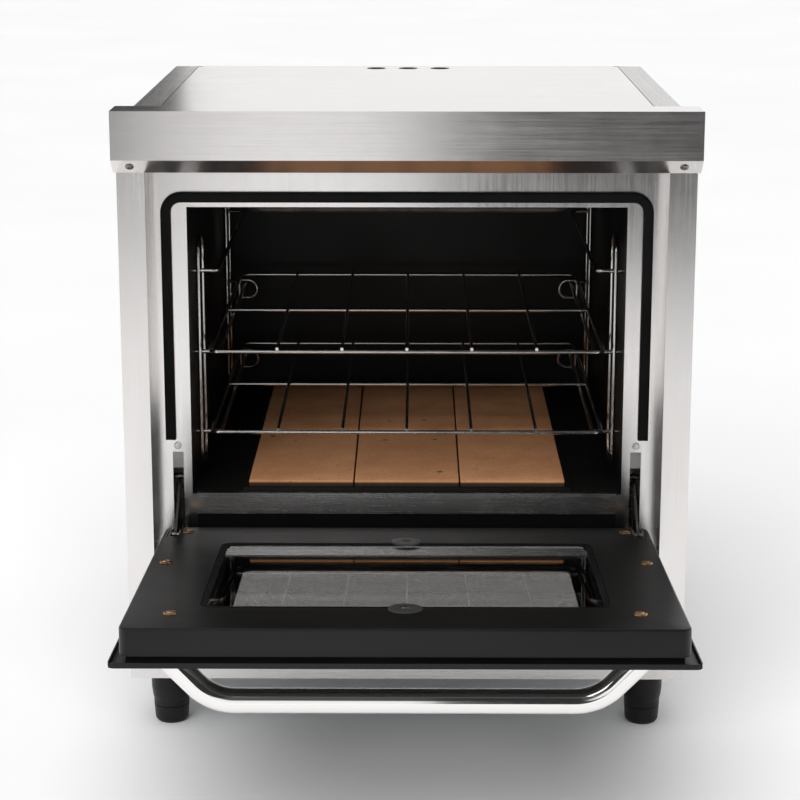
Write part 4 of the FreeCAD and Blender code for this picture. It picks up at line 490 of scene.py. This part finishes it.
def rounded(profile, chosen, radius, steps=3):
    """Replace chosen corners of a profile by small arcs."""
    result = []
    for index, point in enumerate(profile):
        if index not in chosen:
            result.append(point)
            continue
        here = Vector(point)
        back = Vector(profile[index - 1]) - here
        ahead = Vector(profile[index + 1]) - here
        reach = min(radius, back.length * 0.45, ahead.length * 0.45)
        start = here + back.normalized() * reach
        end = here + ahead.normalized() * reach
        for step in range(steps + 1):
            way = step / steps
            first = start.lerp(here, way)
            second = here.lerp(end, way)
            result.append(tuple(first.lerp(second, way)))
    return result


def tidy(mesh):
    bmesh.ops.remove_doubles(mesh, verts=mesh.verts, dist=0.000001)
    bmesh.ops.recalc_face_normals(mesh, faces=mesh.faces)


def turned(axis):
    """Matrix that points Z along an axis."""
    return Vector((0, 0, 1)).rotation_difference(Vector(axis)).to_matrix().to_4x4()


def copies(source, places):
    """A mesh with one copy of source at each matrix."""
    result = bmesh.new()
    part = bpy.data.meshes.new("part")
    source.to_mesh(part)
    for place in places:
        shifted = part.copy()
        shifted.transform(place)
        result.from_mesh(shifted)
        bpy.data.meshes.remove(shifted)
    bpy.data.meshes.remove(part)
    source.free()
    return result


def piece(name, mesh, material, body, node, smooth=32):
    """Finish a mesh as a piece that rides on a body and stands for a CAD node."""
    data = bpy.data.meshes.new(name)
    mesh.to_mesh(data)
    mesh.free()
    data.materials.append(material)
    item = bpy.data.objects.new(name, data)
    bpy.context.scene.collection.objects.link(item)
    data.shade_smooth()
    crease = item.modifiers.new("Crisp folds", "EDGE_SPLIT")
    crease.use_edge_angle = True
    crease.split_angle = math.radians(smooth)
    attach(item, body)
    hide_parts(node)
    return item


def carve(item, cutter_mesh):
    """Cut one mesh out of a piece for good."""
    data = bpy.data.meshes.new("cutter")
    cutter_mesh.to_mesh(data)
    cutter_mesh.free()
    cutter = bpy.data.objects.new("cutter", data)
    bpy.context.scene.collection.objects.link(cutter)
    cut = item.modifiers.new("Cut", "BOOLEAN")
    cut.object = cutter
    cut.operation = "DIFFERENCE"
    cut.solver = "EXACT"
    item.modifiers.move(len(item.modifiers) - 1, 0)
    keep = [modifier for modifier in item.modifiers if modifier != cut]
    for modifier in keep:
        modifier.show_viewport = False
    bpy.context.view_layer.update()
    baked = bpy.data.meshes.new_from_object(item.evaluated_get(bpy.context.evaluated_depsgraph_get()))
    item.modifiers.remove(cut)
    for modifier in keep:
        modifier.show_viewport = True
    item.data = baked
    bpy.data.objects.remove(cutter)


def cross(width, span, depth, places):
    """Cutter for a cross recess, sunk from each place's Z = 0."""
    near, far = width / 2, span / 2
    quarter = [(far, -near), (far, near), (near, near)]
    outline = []
    for turn in range(4):
        for x, y in quarter:
            for _ in range(turn):
                x, y = -y, x
            outline.append((x, y, -depth))
    mesh = bmesh.new()
    base = mesh.faces.new([mesh.verts.new(point) for point in outline])
    made = bmesh.ops.extrude_face_region(mesh, geom=[base])["geom"]
    raised = [item for item in made if isinstance(item, bmesh.types.BMVert)]
    bmesh.ops.translate(mesh, vec=(0, 0, 2 * depth), verts=raised)
    bmesh.ops.recalc_face_normals(mesh, faces=mesh.faces)
    return copies(mesh, places)


def at(point, axis, turn=0.0):
    return Matrix.Translation(point) @ turned(axis) @ Matrix.Rotation(turn, 4, "Z")


# ---------------------------------------------------------------- operators


class OVEN_OT_casing(bpy.types.Operator):
    """Brush the casing's sheets, each along its own length"""

    bl_idname = "oven.casing"
    bl_label = "Casing"
    bl_options = {"REGISTER", "UNDO"}

    def execute(self, context):
        tone = colours().steel
        rough = colours().steel_gloss
        dress(brushed("steel_brushed_fascia", tone, "X", rough * 0.8, 0.025, 0.4), "fascia")
        dress(brushed("steel_brushed_across", tone, "X", rough, 0.03), "lower_front_panel")
        dress(brushed("steel_brushed_sill", tone, "X", rough, 0.015, 0.1), "sill")
        dress(brushed("steel_brushed_top", tone, "X", rough * 0.8, 0.02, 0.3), "top_panel")
        upright = brushed("steel_brushed_upright", tone, "Z", rough * 0.9, 0.03, 0.6)
        dress(upright, "pillar_left", "pillar_right")
        dull = tuple(channel * 0.8 for channel in tone)
        sides = brushed("steel_brushed_side", dull, "Y", rough * 1.1, 0.04)
        dress(sides, "side_panel_left", "side_panel_right")
        # The front frame's lower band gets painted shade.
        dress(brushed("steel_brushed_frame", tone, "Z", rough * 0.8, 0.03, 0.5, self.paint_gap_shade), "front_frame")
        return {"FINISHED"}

    def paint_gap_shade(self, finish):
        """Paint the band of the frame between the sill and the door black: painted shade standing in for the
        dark gap behind the door.
        """
        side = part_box("sill")[1].x
        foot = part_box("sill")[0].z
        split = {"Vector": finish.place}
        across = finish.add("ShaderNodeSeparateXYZ", {}, split, output="X")
        height = finish.add("ShaderNodeSeparateXYZ", {}, split, output="Z")
        # Painted shade: below the sill and within its width the frame turns black and not metallic.
        shade_strip = height.maths("LESS_THAN", height, foot) * across.maths("LESS_THAN", abs(across), side)
        base = finish.shader.inputs["Base Color"].links[0].from_socket
        finish.feed(Base_Color=finish.mix(shade_strip, Signal(base), SHADE_BLACK), Metallic=1.0 - shade_strip)


class OVEN_OT_back(bpy.types.Operator):
    """Give the back, base and duct their zinc spangle"""

    bl_idname = "oven.back"
    bl_label = "Back and base"
    bl_options = {"REGISTER", "UNDO"}

    def execute(self, context):
        zinc = spangled("galvanised_sheet", colours().galvanised)
        dress(zinc, "back_panel", "base_panel", "vent_duct", "rear_top_cover")
        return {"FINISHED"}


class OVEN_OT_cavity(bpy.types.Operator):
    """Enamel the cavity and tray, and finish what heats them"""

    bl_idname = "oven.cavity"
    bl_label = "Cavity"
    bl_options = {"REGISTER", "UNDO"}

    def execute(self, context):
        dress(enamelled("cavity_enamel", colours().enamel, 0.42, 1.6), "cavity_liner")
        dress(enamelled("tray_enamel", colours().enamel, 0.38, 1.2), "tile_tray")
        dress(scaled("element_sheath"), "top_element", "bottom_element")
        dress(plated("probe_steel", (0.58, 0.57, 0.55), 0.28), "thermostat_probe")
        dress(woolly("mineral_wool", colours().wool), "insulation_blanket")
        dress(moulded("terminal_plastic", (0.62, 0.60, 0.55), 0.42), "terminal_block")
        dress(rubbery("gasket_rubber", colours().rubber), "door_gasket")
        return {"FINISHED"}


class OVEN_OT_wires(bpy.types.Operator):
    """Plate the racks and their side frames"""

    bl_idname = "oven.wires"
    bl_label = "Racks and side frames"
    bl_options = {"REGISTER", "UNDO"}

    def execute(self, context):
        wire = plated("bright_wire", (0.72, 0.70, 0.68), 0.16)
        dress(wire, "rack_upper", "rack_lower", "side_frame_left", "side_frame_right")
        return {"FINISHED"}


class OVEN_OT_door(bpy.types.Operator):
    """Finish the door's skin, pan, seal and glass"""

    bl_idname = "oven.door"
    bl_label = "Door"
    bl_options = {"REGISTER", "UNDO"}

    def execute(self, context):
        dress(enamelled("skin_enamel", colours().enamel, colours().enamel_gloss, 0.8), "door_skin")
        dress(enamelled("pan_enamel", colours().enamel, colours().enamel_gloss), "door_pan")
        dress(moulded("inner_frame_black", (0.005, 0.005, 0.005), 0.6), "door_spacer")
        dress(rubbery("seal_rubber", colours().rubber), "window_seal")
        dress(pane("inner_pane", colours().glass), "inner_glass")
        dress(pane("outer_pane", colours().glass), "outer_glass")
        dress(brushed("handle_polished", (0.90, 0.89, 0.88), "X", 0.08, 0.02, 0.3), "handle_tube")
        return {"FINISHED"}


class OVEN_OT_hinges(bpy.types.Operator):
    """Plate the hinges, their links, pins and springs"""

    bl_idname = "oven.hinges"
    bl_label = "Hinges"
    bl_options = {"REGISTER", "UNDO"}

    def execute(self, context):
        zinc = plated("hinge_zinc", colours().zinc, 0.34)
        dark = plated("link_oxide", (0.27, 0.26, 0.25), 0.26)
        for side in ("left", "right"):
            dress(zinc, f"hinge_bracket_{side}", f"hinge_arm_{side}")
            dress(dark, f"hinge_link_{side}")
        bright = plated("pin_steel", (0.78, 0.77, 0.75), 0.2)
        dress(bright, "hinge_pins", "link_pins", "handle_bolts", "foot_bolts")
        springs = [name for name in NODES if name.startswith("hinge_spring")]
        dress(plated("spring_steel", (0.34, 0.33, 0.32), 0.28), *springs)
        return {"FINISHED"}


class OVEN_OT_tiles(bpy.types.Operator):
    """Model the deck's fire-clay tiles with worn edges and uneven tops"""

    bl_idname = "oven.tiles"
    bl_label = "Deck tiles"
    bl_options = {"REGISTER", "UNDO"}

    def execute(self, context):
        result = bmesh.new()
        tones = (0.75, 0.35, 0.9, 0.2, 0.6, 0.05)
        layer = result.verts.layers.float.new("tile_tone")
        for index, group in enumerate(islands("deck_tiles")):
            low, high = corners(group)
            size = high - low
            made = bmesh.ops.create_cube(result, size=1.0)["verts"]
            bmesh.ops.scale(result, vec=size, verts=made)
            bmesh.ops.translate(result, vec=(low + high) / 2, verts=made)
            edges = list({edge for vert in made for edge in vert.link_edges})
            bevelled = bmesh.ops.bevel(
                result, geom=edges, offset=sizes().tile_edge, offset_type="OFFSET", segments=3, profile=0.5,
                affect="EDGES", material=-1,
            )
            tile = {vert for face in bevelled["faces"] for vert in face.verts}
            top = [face for face in result.faces if face.normal.z > 0.99 and set(face.verts) <= tile]
            inner = list({edge for face in top for edge in face.edges})
            bmesh.ops.subdivide_edges(result, edges=inner, cuts=14, use_grid_fill=True)
            self.settle(result, low, high)
            for vert in result.verts:
                if low.x - MM < vert.co.x < high.x + MM and low.y - MM < vert.co.y < high.y + MM:
                    vert[layer] = tones[index % len(tones)]
        bmesh.ops.recalc_face_normals(result, faces=result.faces)
        clay = fired_clay("fired_clay", colours().clay, colours().clay_pale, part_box("deck_tiles")[1].z)
        piece("deck_tile_set", result, clay, "oven", "deck_tiles")
        return {"FINISHED"}

    def settle(self, mesh, low, high):
        """Lower the middle of a tile's top by a slight, uneven wave."""
        edge = 2 * MM
        for vert in mesh.verts:
            x, y, z = vert.co
            inside = low.x + edge < x < high.x - edge and low.y + edge < y < high.y - edge
            if inside and z > high.z - 0.1 * MM:
                wave = math.sin(x * 70) * math.sin(y * 47 + 1.3) + math.sin(x * 151 + y * 113)
                vert.co.z -= sizes().tile_wave * (0.5 + 0.25 * wave)


class OVEN_OT_door_fasteners(bpy.types.Operator):
    """Turn the door's cup washers, raised screws and glass retainers"""

    bl_idname = "oven.door_fasteners"
    bl_label = "Door fasteners"
    bl_options = {"REGISTER", "UNDO"}

    def execute(self, context):
        washers = [middle(group) for group in islands("cup_washers")]
        self.washers(washers)
        self.screws(washers)
        self.retainers()
        return {"FINISHED"}

    def washers(self, places):
        low = DOOR_UP * -0.8 * MM
        profile = in_mm(
            (2.65, 0), (6.5, 0), (6.45, 0.5), (5.7, 1.35), (5.0, 1.6), (4.5, 1.45), (2.65, 0.35), (2.65, 0)
        )
        mesh = bmesh.new()
        spun(mesh, rounded(profile, (2, 3, 4), 0.4 * MM))
        tidy(mesh)
        mesh = copies(mesh, [at(place + low, DOOR_UP) for place in places])
        brass = plated("cup_brass", colours().brass, 0.24)
        piece("cup_washer_set", mesh, brass, "door", "cup_washers")

    def screws(self, places):
        group = islands("door_screws")[0]
        low = min((point - middle(group)).dot(DOOR_UP) for point in group)
        high = max((point - middle(group)).dot(DOOR_UP) for point in group)
        shank = (high - low) - 0.8 * MM
        profile = [
            (0, -shank), (2.1 * MM, -shank), (2.5 * MM, -shank + 0.6 * MM), (2.5 * MM, -1.0 * MM),
            (3.7 * MM, -0.05 * MM), (3.6 * MM, 0.25 * MM), (2.2 * MM, 0.66 * MM), (0, 0.75 * MM),
        ]
        mesh = bmesh.new()
        spun(mesh, rounded(profile, (4, 5, 6), 0.25 * MM))
        tidy(mesh)
        rise = DOOR_UP * 0.55 * MM
        seats = [place + rise for place in places]
        turns = (0.3, 1.1, 0.7, 0.1, 1.4, 0.9)
        mesh = copies(mesh, [at(seat, DOOR_UP, turn) for seat, turn in zip(seats, turns)])
        zinc = plated("screw_zinc", (0.88, 0.72, 0.56), 0.22)
        item = piece("door_screw_set", mesh, zinc, "door", "door_screws")
        tops = [at(seat + DOOR_UP * 0.85 * MM, DOOR_UP, turn) for seat, turn in zip(seats, turns)]
        carve(item, cross(sizes().recess, 4.2 * MM, 1.1 * MM, tops))

    def retainers(self):
        plates = [middle(group) for group in islands("glass_retainers")]
        profile = in_mm(
            (2.15, 0), (16.0, 0), (16.0, 0.7), (15.4, 1.25), (12.5, 1.5), (6.0, 1.5), (5.2, 1.2), (2.15, 1.2),
            (2.15, 0),
        )
        mesh = bmesh.new()
        spun(mesh, rounded(profile, (3, 4, 5, 6), 0.4 * MM), 64)
        tidy(mesh)
        mesh = copies(mesh, [at(place - DOOR_UP * 0.75 * MM, DOOR_UP) for place in plates])
        black = enamelled("retainer_enamel", (0.03, 0.03, 0.03), 0.3)
        piece("retainer_plate_set", mesh, black, "door", "glass_retainers")
        profile = in_mm(
            (0, -8.5), (1.7, -8.5), (2.0, -8.0), (2.0, -0.3), (3.6, -0.3), (3.6, 0.35), (2.6, 1.0), (0, 1.0)
        )
        mesh = bmesh.new()
        spun(mesh, rounded(profile, (5, 6), 0.4 * MM))
        tidy(mesh)
        seats = [place + DOOR_UP * 0.75 * MM for place in plates]
        mesh = copies(mesh, [at(seat, DOOR_UP, 0.4) for seat in seats])
        dark = plated("retainer_screw_steel", (0.30, 0.29, 0.28), 0.3)
        item = piece("retainer_screw_set", mesh, dark, "door", "retainer_screws")
        tops = [at(seat + DOOR_UP * MM, DOOR_UP, 0.4) for seat in seats]
        carve(item, cross(1.0 * MM, 3.0 * MM, 0.8 * MM, tops))


class OVEN_OT_casing_fasteners(bpy.types.Operator):
    """Turn the casing's pan-head screws and the frame's rivets"""

    bl_idname = "oven.casing_fasteners"
    bl_label = "Casing fasteners"
    bl_options = {"REGISTER", "UNDO"}

    def execute(self, context):
        dark = plated("fascia_screw_steel", (0.30, 0.29, 0.28), 0.3)
        slope = Vector((0, -15, -18)).normalized()
        self.pan_heads("fascia_screw_set", "fascia_screws", slope, dark)
        bright = plated("back_screw_steel", (0.60, 0.59, 0.57), 0.26)
        self.pan_heads("back_screw_set", "back_panel_screws", Vector((0, 1, 0)), bright)
        self.rivets(plated("rivet_steel", (0.84, 0.82, 0.81), 0.22))
        return {"FINISHED"}

    def pan_heads(self, name, node, axis, material):
        seats = []
        for group in islands(node):
            top = max(point.dot(axis) for point in group)
            centre = middle_along(group, axis)
            seats.append(centre + axis * (top - centre.dot(axis) - 2 * MM))
        profile = in_mm(
            (0, -9), (1.5, -9), (2.0, -8.2), (2.0, 0), (4.5, 0), (4.4, 1.1), (3.2, 1.8), (0, 2.0)
        )
        mesh = bmesh.new()
        spun(mesh, rounded(profile, (5, 6), 0.7 * MM))
        tidy(mesh)
        places = [at(seat, axis, 0.5 + index) for index, seat in enumerate(seats)]
        item = piece(name, copies(mesh, places), material, "oven", node)
        tops = [at(seat + axis * 2.05 * MM, axis, 0.5 + index) for index, seat in enumerate(seats)]
        carve(item, cross(sizes().recess, 4.4 * MM, 1.2 * MM, tops))

    def rivets(self, material):
        front = Vector((0, -1, 0))
        seats = []
        for group in islands("frame_rivets"):
            low, high = corners(group)
            seats.append(Vector(((low.x + high.x) / 2, low.y + 1.2 * MM, (low.z + high.z) / 2)))
        profile = in_mm(
            (0, -3.4), (1.8, -3.4), (2.0, -3.0), (2.0, 0), (4.0, 0), (4.0, 0.7), (3.5, 0.75), (3.3, 0.1),
            (2.7, 0.1), (2.5, 0.9), (0, 1.0),
        )
        mesh = bmesh.new()
        spun(mesh, rounded(profile, (5, 6), 0.4 * MM))
        tidy(mesh)
        mesh = copies(mesh, [at(seat, front) for seat in seats])
        piece("frame_rivet_set", mesh, material, "oven", "frame_rivets")


def middle_along(group, axis):
    """Middle of a turned part about its own axis."""
    centre = sum(group, Vector()) / len(group)
    flat = [point - axis * point.dot(axis) for point in group]
    low, high = corners(flat)
    return (low + high) / 2 + axis * centre.dot(axis)


class OVEN_OT_feet(bpy.types.Operator):
    """Mould the feet's sleeves and their screw-in pads"""

    bl_idname = "oven.feet"
    bl_label = "Feet"
    bl_options = {"REGISTER", "UNDO"}

    def execute(self, context):
        plastic = moulded("foot_plastic", colours().plastic, 0.42, 430.0)
        groups = islands("foot_sleeves")
        low, high = corners(groups[0])
        top = high.z
        foot = low.z
        sleeve = [
            (8.3 * MM, top), (21.75 * MM, top), (21.4 * MM, top - 22 * MM), (20.6 * MM, top - 29 * MM),
            (19.9 * MM, top - 33 * MM), (19.3 * MM, top - 34.2 * MM), (19.25 * MM, foot), (8.3 * MM, foot),
            (8.3 * MM, top),
        ]
        mesh = bmesh.new()
        spun(mesh, rounded(sleeve, (2, 3, 4, 5, 6), 0.8 * MM), 64)
        tidy(mesh)
        places = []
        for group in groups:
            low, high = corners(group)
            places.append(Matrix.Translation(((low.x + high.x) / 2, (low.y + high.y) / 2, 0)))
        sleeves = copies(mesh, places)
        piece("foot_sleeve_set", sleeves, plastic, "oven", "foot_sleeves", smooth=45)
        for name in ("front_left", "front_right", "rear_left", "rear_right"):
            self.pad(name, plastic)
        return {"FINISHED"}

    def pad(self, name, plastic):
        low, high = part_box(f"foot_pad_{name}")
        radius = (high.x - low.x) / 2
        profile = [
            (0, high.z), (7.2 * MM, high.z), (8.0 * MM, high.z - 0.8 * MM), (8.0 * MM, 19 * MM),
            (radius, 19 * MM), (radius - 0.15 * MM, 18.2 * MM), (radius - 1.1 * MM, 3.2 * MM),
            (radius - 3.4 * MM, 0), (radius - 5 * MM, 0), (radius - 5.6 * MM, 0.8 * MM), (0, 0.8 * MM),
        ]
        mesh = bmesh.new()
        spun(mesh, rounded(profile, (4, 6, 7), 1.6 * MM, 5), 64)
        tidy(mesh)
        centre = Matrix.Translation(((low.x + high.x) / 2, (low.y + high.y) / 2, 0))
        placed = copies(mesh, [centre])
        label = f"foot_pad_body_{name}"
        piece(label, placed, plastic, f"foot_{name}", f"foot_pad_{name}", smooth=45)


class OVEN_OT_gland(bpy.types.Operator):
    """Mould the cable gland with its ribbed cap and nut"""

    bl_idname = "oven.gland"
    bl_label = "Cable gland"
    bl_options = {"REGISTER", "UNDO"}

    def execute(self, context):
        low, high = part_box("cable_gland")
        centre = Vector(((low.x + high.x) / 2, high.y - 22 * MM, (low.z + high.z) / 2))
        inner = low.y - centre.y
        mesh = bmesh.new()
        body = [
            (6.0 * MM, inner), (9.6 * MM, inner), (10.0 * MM, inner + 0.6 * MM), (10.0 * MM, -0.5 * MM),
            (10.0 * MM, 0.5 * MM), (14.0 * MM, 0.0), (14.0 * MM, 5 * MM), (12.9 * MM, 5.6 * MM),
            (12.9 * MM, 16 * MM), (10.6 * MM, 20.8 * MM), (7.4 * MM, 22 * MM), (6.0 * MM, 21 * MM),
            (6.0 * MM, inner),
        ]
        spun(mesh, rounded(body, (5, 6, 9, 10), 0.8 * MM), 60)
        tidy(mesh)
        ribs = sizes().knurls
        for index in range(ribs):
            made = bmesh.ops.create_cube(mesh, size=1.0)["verts"]
            bmesh.ops.scale(mesh, vec=(1.5 * MM, 1.8 * MM, 9.5 * MM), verts=made)
            bmesh.ops.translate(mesh, vec=(13.0 * MM, 0, 11 * MM), verts=made)
            turn = Matrix.Rotation(math.tau * index / ribs, 3, "Z")
            bmesh.ops.rotate(mesh, cent=(0, 0, 0), matrix=turn, verts=made)
        radius = 13.0 * MM
        nut = bmesh.ops.create_cone(
            mesh, cap_ends=True, segments=6, radius1=radius, radius2=radius, depth=5 * MM
        )
        bmesh.ops.translate(mesh, vec=(0, 0, -4.0 * MM), verts=nut["verts"])
        plastic = moulded("gland_plastic", (0.02, 0.02, 0.021), 0.38)
        placed = copies(mesh, [at(centre, (0, 1, 0))])
        piece("cable_gland_body", placed, plastic, "oven", "cable_gland")
        return {"FINISHED"}


class OVEN_OT_stage(bpy.types.Operator):
    """Lay the floor, set the lights and place the camera"""

    bl_idname = "oven.stage"
    bl_label = "Stage"
    bl_options = {"REGISTER", "UNDO"}

    def execute(self, context):
        studio = context.scene.oven_studio
        context.scene.view_settings.view_transform = "Standard"
        self.floor()
        self.surround(studio.sky)
        self.sun(studio.sun)
        self.lamp("key", (-1.3, -2.4, 2.4), (0, 0, 0.3), 1.6, 1.2, 14)
        self.card("shade_right", (1.9, -2.6, 1.3), (3.7, 2.7))
        self.card("shade_left", (-1.88, -2.6, 1.3), (2.6, 2.7))
        self.card("shade_back", (-1.78, 2.9, 1.45), (2.45, 1.6))
        self.camera(studio)
        return {"FINISHED"}

    def floor(self):
        mesh = bmesh.new()
        bmesh.ops.create_grid(mesh, x_segments=2, y_segments=2, size=30.0)
        data = bpy.data.meshes.new("studio_floor")
        mesh.to_mesh(data)
        mesh.free()
        data.materials.append(floor_paint("pale_floor"))
        item = bpy.data.objects.new("studio_floor", data)
        bpy.context.scene.collection.objects.link(item)

    def surround(self, brightness):
        """White along the horizon all round, dimmer overhead and dimmest above the front."""
        world = bpy.data.worlds.new("white_surround")
        bpy.context.scene.world = world
        world.use_nodes = True
        tree = world.node_tree
        place = Signal.make(tree, "ShaderNodeTexCoord", output="Generated")
        height = Signal.make(tree, "ShaderNodeSeparateXYZ", {}, {"Vector": place}, output="Z")
        depth = Signal.make(tree, "ShaderNodeSeparateXYZ", {}, {"Vector": place}, output="Y")
        rise = {0: height, 1: 0.26, 2: 0.42, 3: 0.0, 4: 1.0}
        turn = {0: depth, 1: 0.25, 2: -0.35, 3: 0.0, 4: 1.0}
        above = Signal.make(tree, "ShaderNodeMapRange", {"clamp": True}, rise)
        front = Signal.make(tree, "ShaderNodeMapRange", {"clamp": True}, turn)
        back = tree.nodes["Background"]
        tree.links.new((1.0 - above * (front * 0.50 + 0.42)).socket, back.inputs["Color"])
        back.inputs["Strength"].default_value = brightness

    def sun(self, power):
        """Broad overhead light that only matt surfaces show."""
        light = bpy.data.lights.new("sun", "SUN")
        light.energy = power
        light.angle = math.radians(60)
        item = bpy.data.objects.new("sun", light)
        bpy.context.scene.collection.objects.link(item)
        item.rotation_euler = (math.radians(33), 0, math.radians(-12))
        item.visible_glossy = False

    def lamp(self, name, place, target, width, height, power):
        light = bpy.data.lights.new(name, "AREA")
        light.shape = "RECTANGLE"
        light.size = width
        light.size_y = height
        light.energy = power
        item = bpy.data.objects.new(name, light)
        bpy.context.scene.collection.objects.link(item)
        item.location = place
        item.rotation_mode = "QUATERNION"
        item.rotation_quaternion = (Vector(target) - Vector(place)).to_track_quat("-Z", "Y")

    def card(self, name, place, size):
        """A black card that only reflections see."""
        mesh = bmesh.new()
        made = bmesh.ops.create_grid(mesh, x_segments=1, y_segments=1, size=0.5)["verts"]
        bmesh.ops.scale(mesh, vec=(*size, 1), verts=made)
        bmesh.ops.rotate(mesh, cent=(0, 0, 0), matrix=Matrix.Rotation(math.pi / 2, 3, "X"), verts=made)
        bmesh.ops.translate(mesh, vec=place, verts=made)
        data = bpy.data.meshes.new(name)
        mesh.to_mesh(data)
        mesh.free()
        data.materials.append(moulded("card_black", (0.02, 0.02, 0.02), 0.9))
        item = bpy.data.objects.new(name, data)
        bpy.context.scene.collection.objects.link(item)
        for ray in ("camera", "diffuse", "transmission", "shadow", "volume_scatter"):
            setattr(item, f"visible_{ray}", False)

    def camera(self, studio):
        data = bpy.data.cameras.new("camera")
        data.lens = studio.lens
        data.shift_y = studio.rise
        data.clip_end = 100
        item = bpy.data.objects.new("camera", data)
        bpy.context.scene.collection.objects.link(item)
        item.location = studio.eye
        item.rotation_euler = (math.pi / 2 - studio.tilt, 0, studio.pan)
        bpy.context.scene.camera = item


STEPS = (
    OVEN_OT_casing,
    OVEN_OT_back,
    OVEN_OT_cavity,
    OVEN_OT_wires,
    OVEN_OT_door,
    OVEN_OT_hinges,
    OVEN_OT_tiles,
    OVEN_OT_door_fasteners,
    OVEN_OT_casing_fasteners,
    OVEN_OT_feet,
    OVEN_OT_gland,
    OVEN_OT_stage,
)


class OVEN_PT_panel(bpy.types.Panel):
    """Steps and settings of the deck oven."""

    bl_idname = "OVEN_PT_panel"
    bl_label = "Deck Oven"
    bl_space_type = "VIEW_3D"
    bl_region_type = "UI"
    bl_category = "Deck Oven"

    def draw(self, context):
        layout = self.layout
        for step in STEPS:
            layout.operator(step.bl_idname)
        for group in (context.scene.oven_colours, context.scene.oven_sizes, context.scene.oven_studio):
            box = layout.box()
            for name in group.__annotations__:
                box.prop(group, name)


GROUPS = (("oven_colours", OvenColours), ("oven_sizes", OvenSizes), ("oven_studio", OvenStudio))


def register():
    for name, group in GROUPS:
        bpy.utils.register_class(group)
        setattr(bpy.types.Scene, name, PointerProperty(type=group))
    for kind in (*STEPS, OVEN_PT_panel):
        bpy.utils.register_class(kind)


def unregister():
    for kind in reversed((*STEPS, OVEN_PT_panel)):
        bpy.utils.unregister_class(kind)
    for name, group in reversed(GROUPS):
        delattr(bpy.types.Scene, name)
        bpy.utils.unregister_class(group)


def main():
    register()
    for step in STEPS:
        space, name = step.bl_idname.split(".")
        if getattr(getattr(bpy.ops, space), name)() != {"FINISHED"}:
            raise RuntimeError(f"{step.bl_label} didn't finish")


if __name__ == "__main__":
    main()
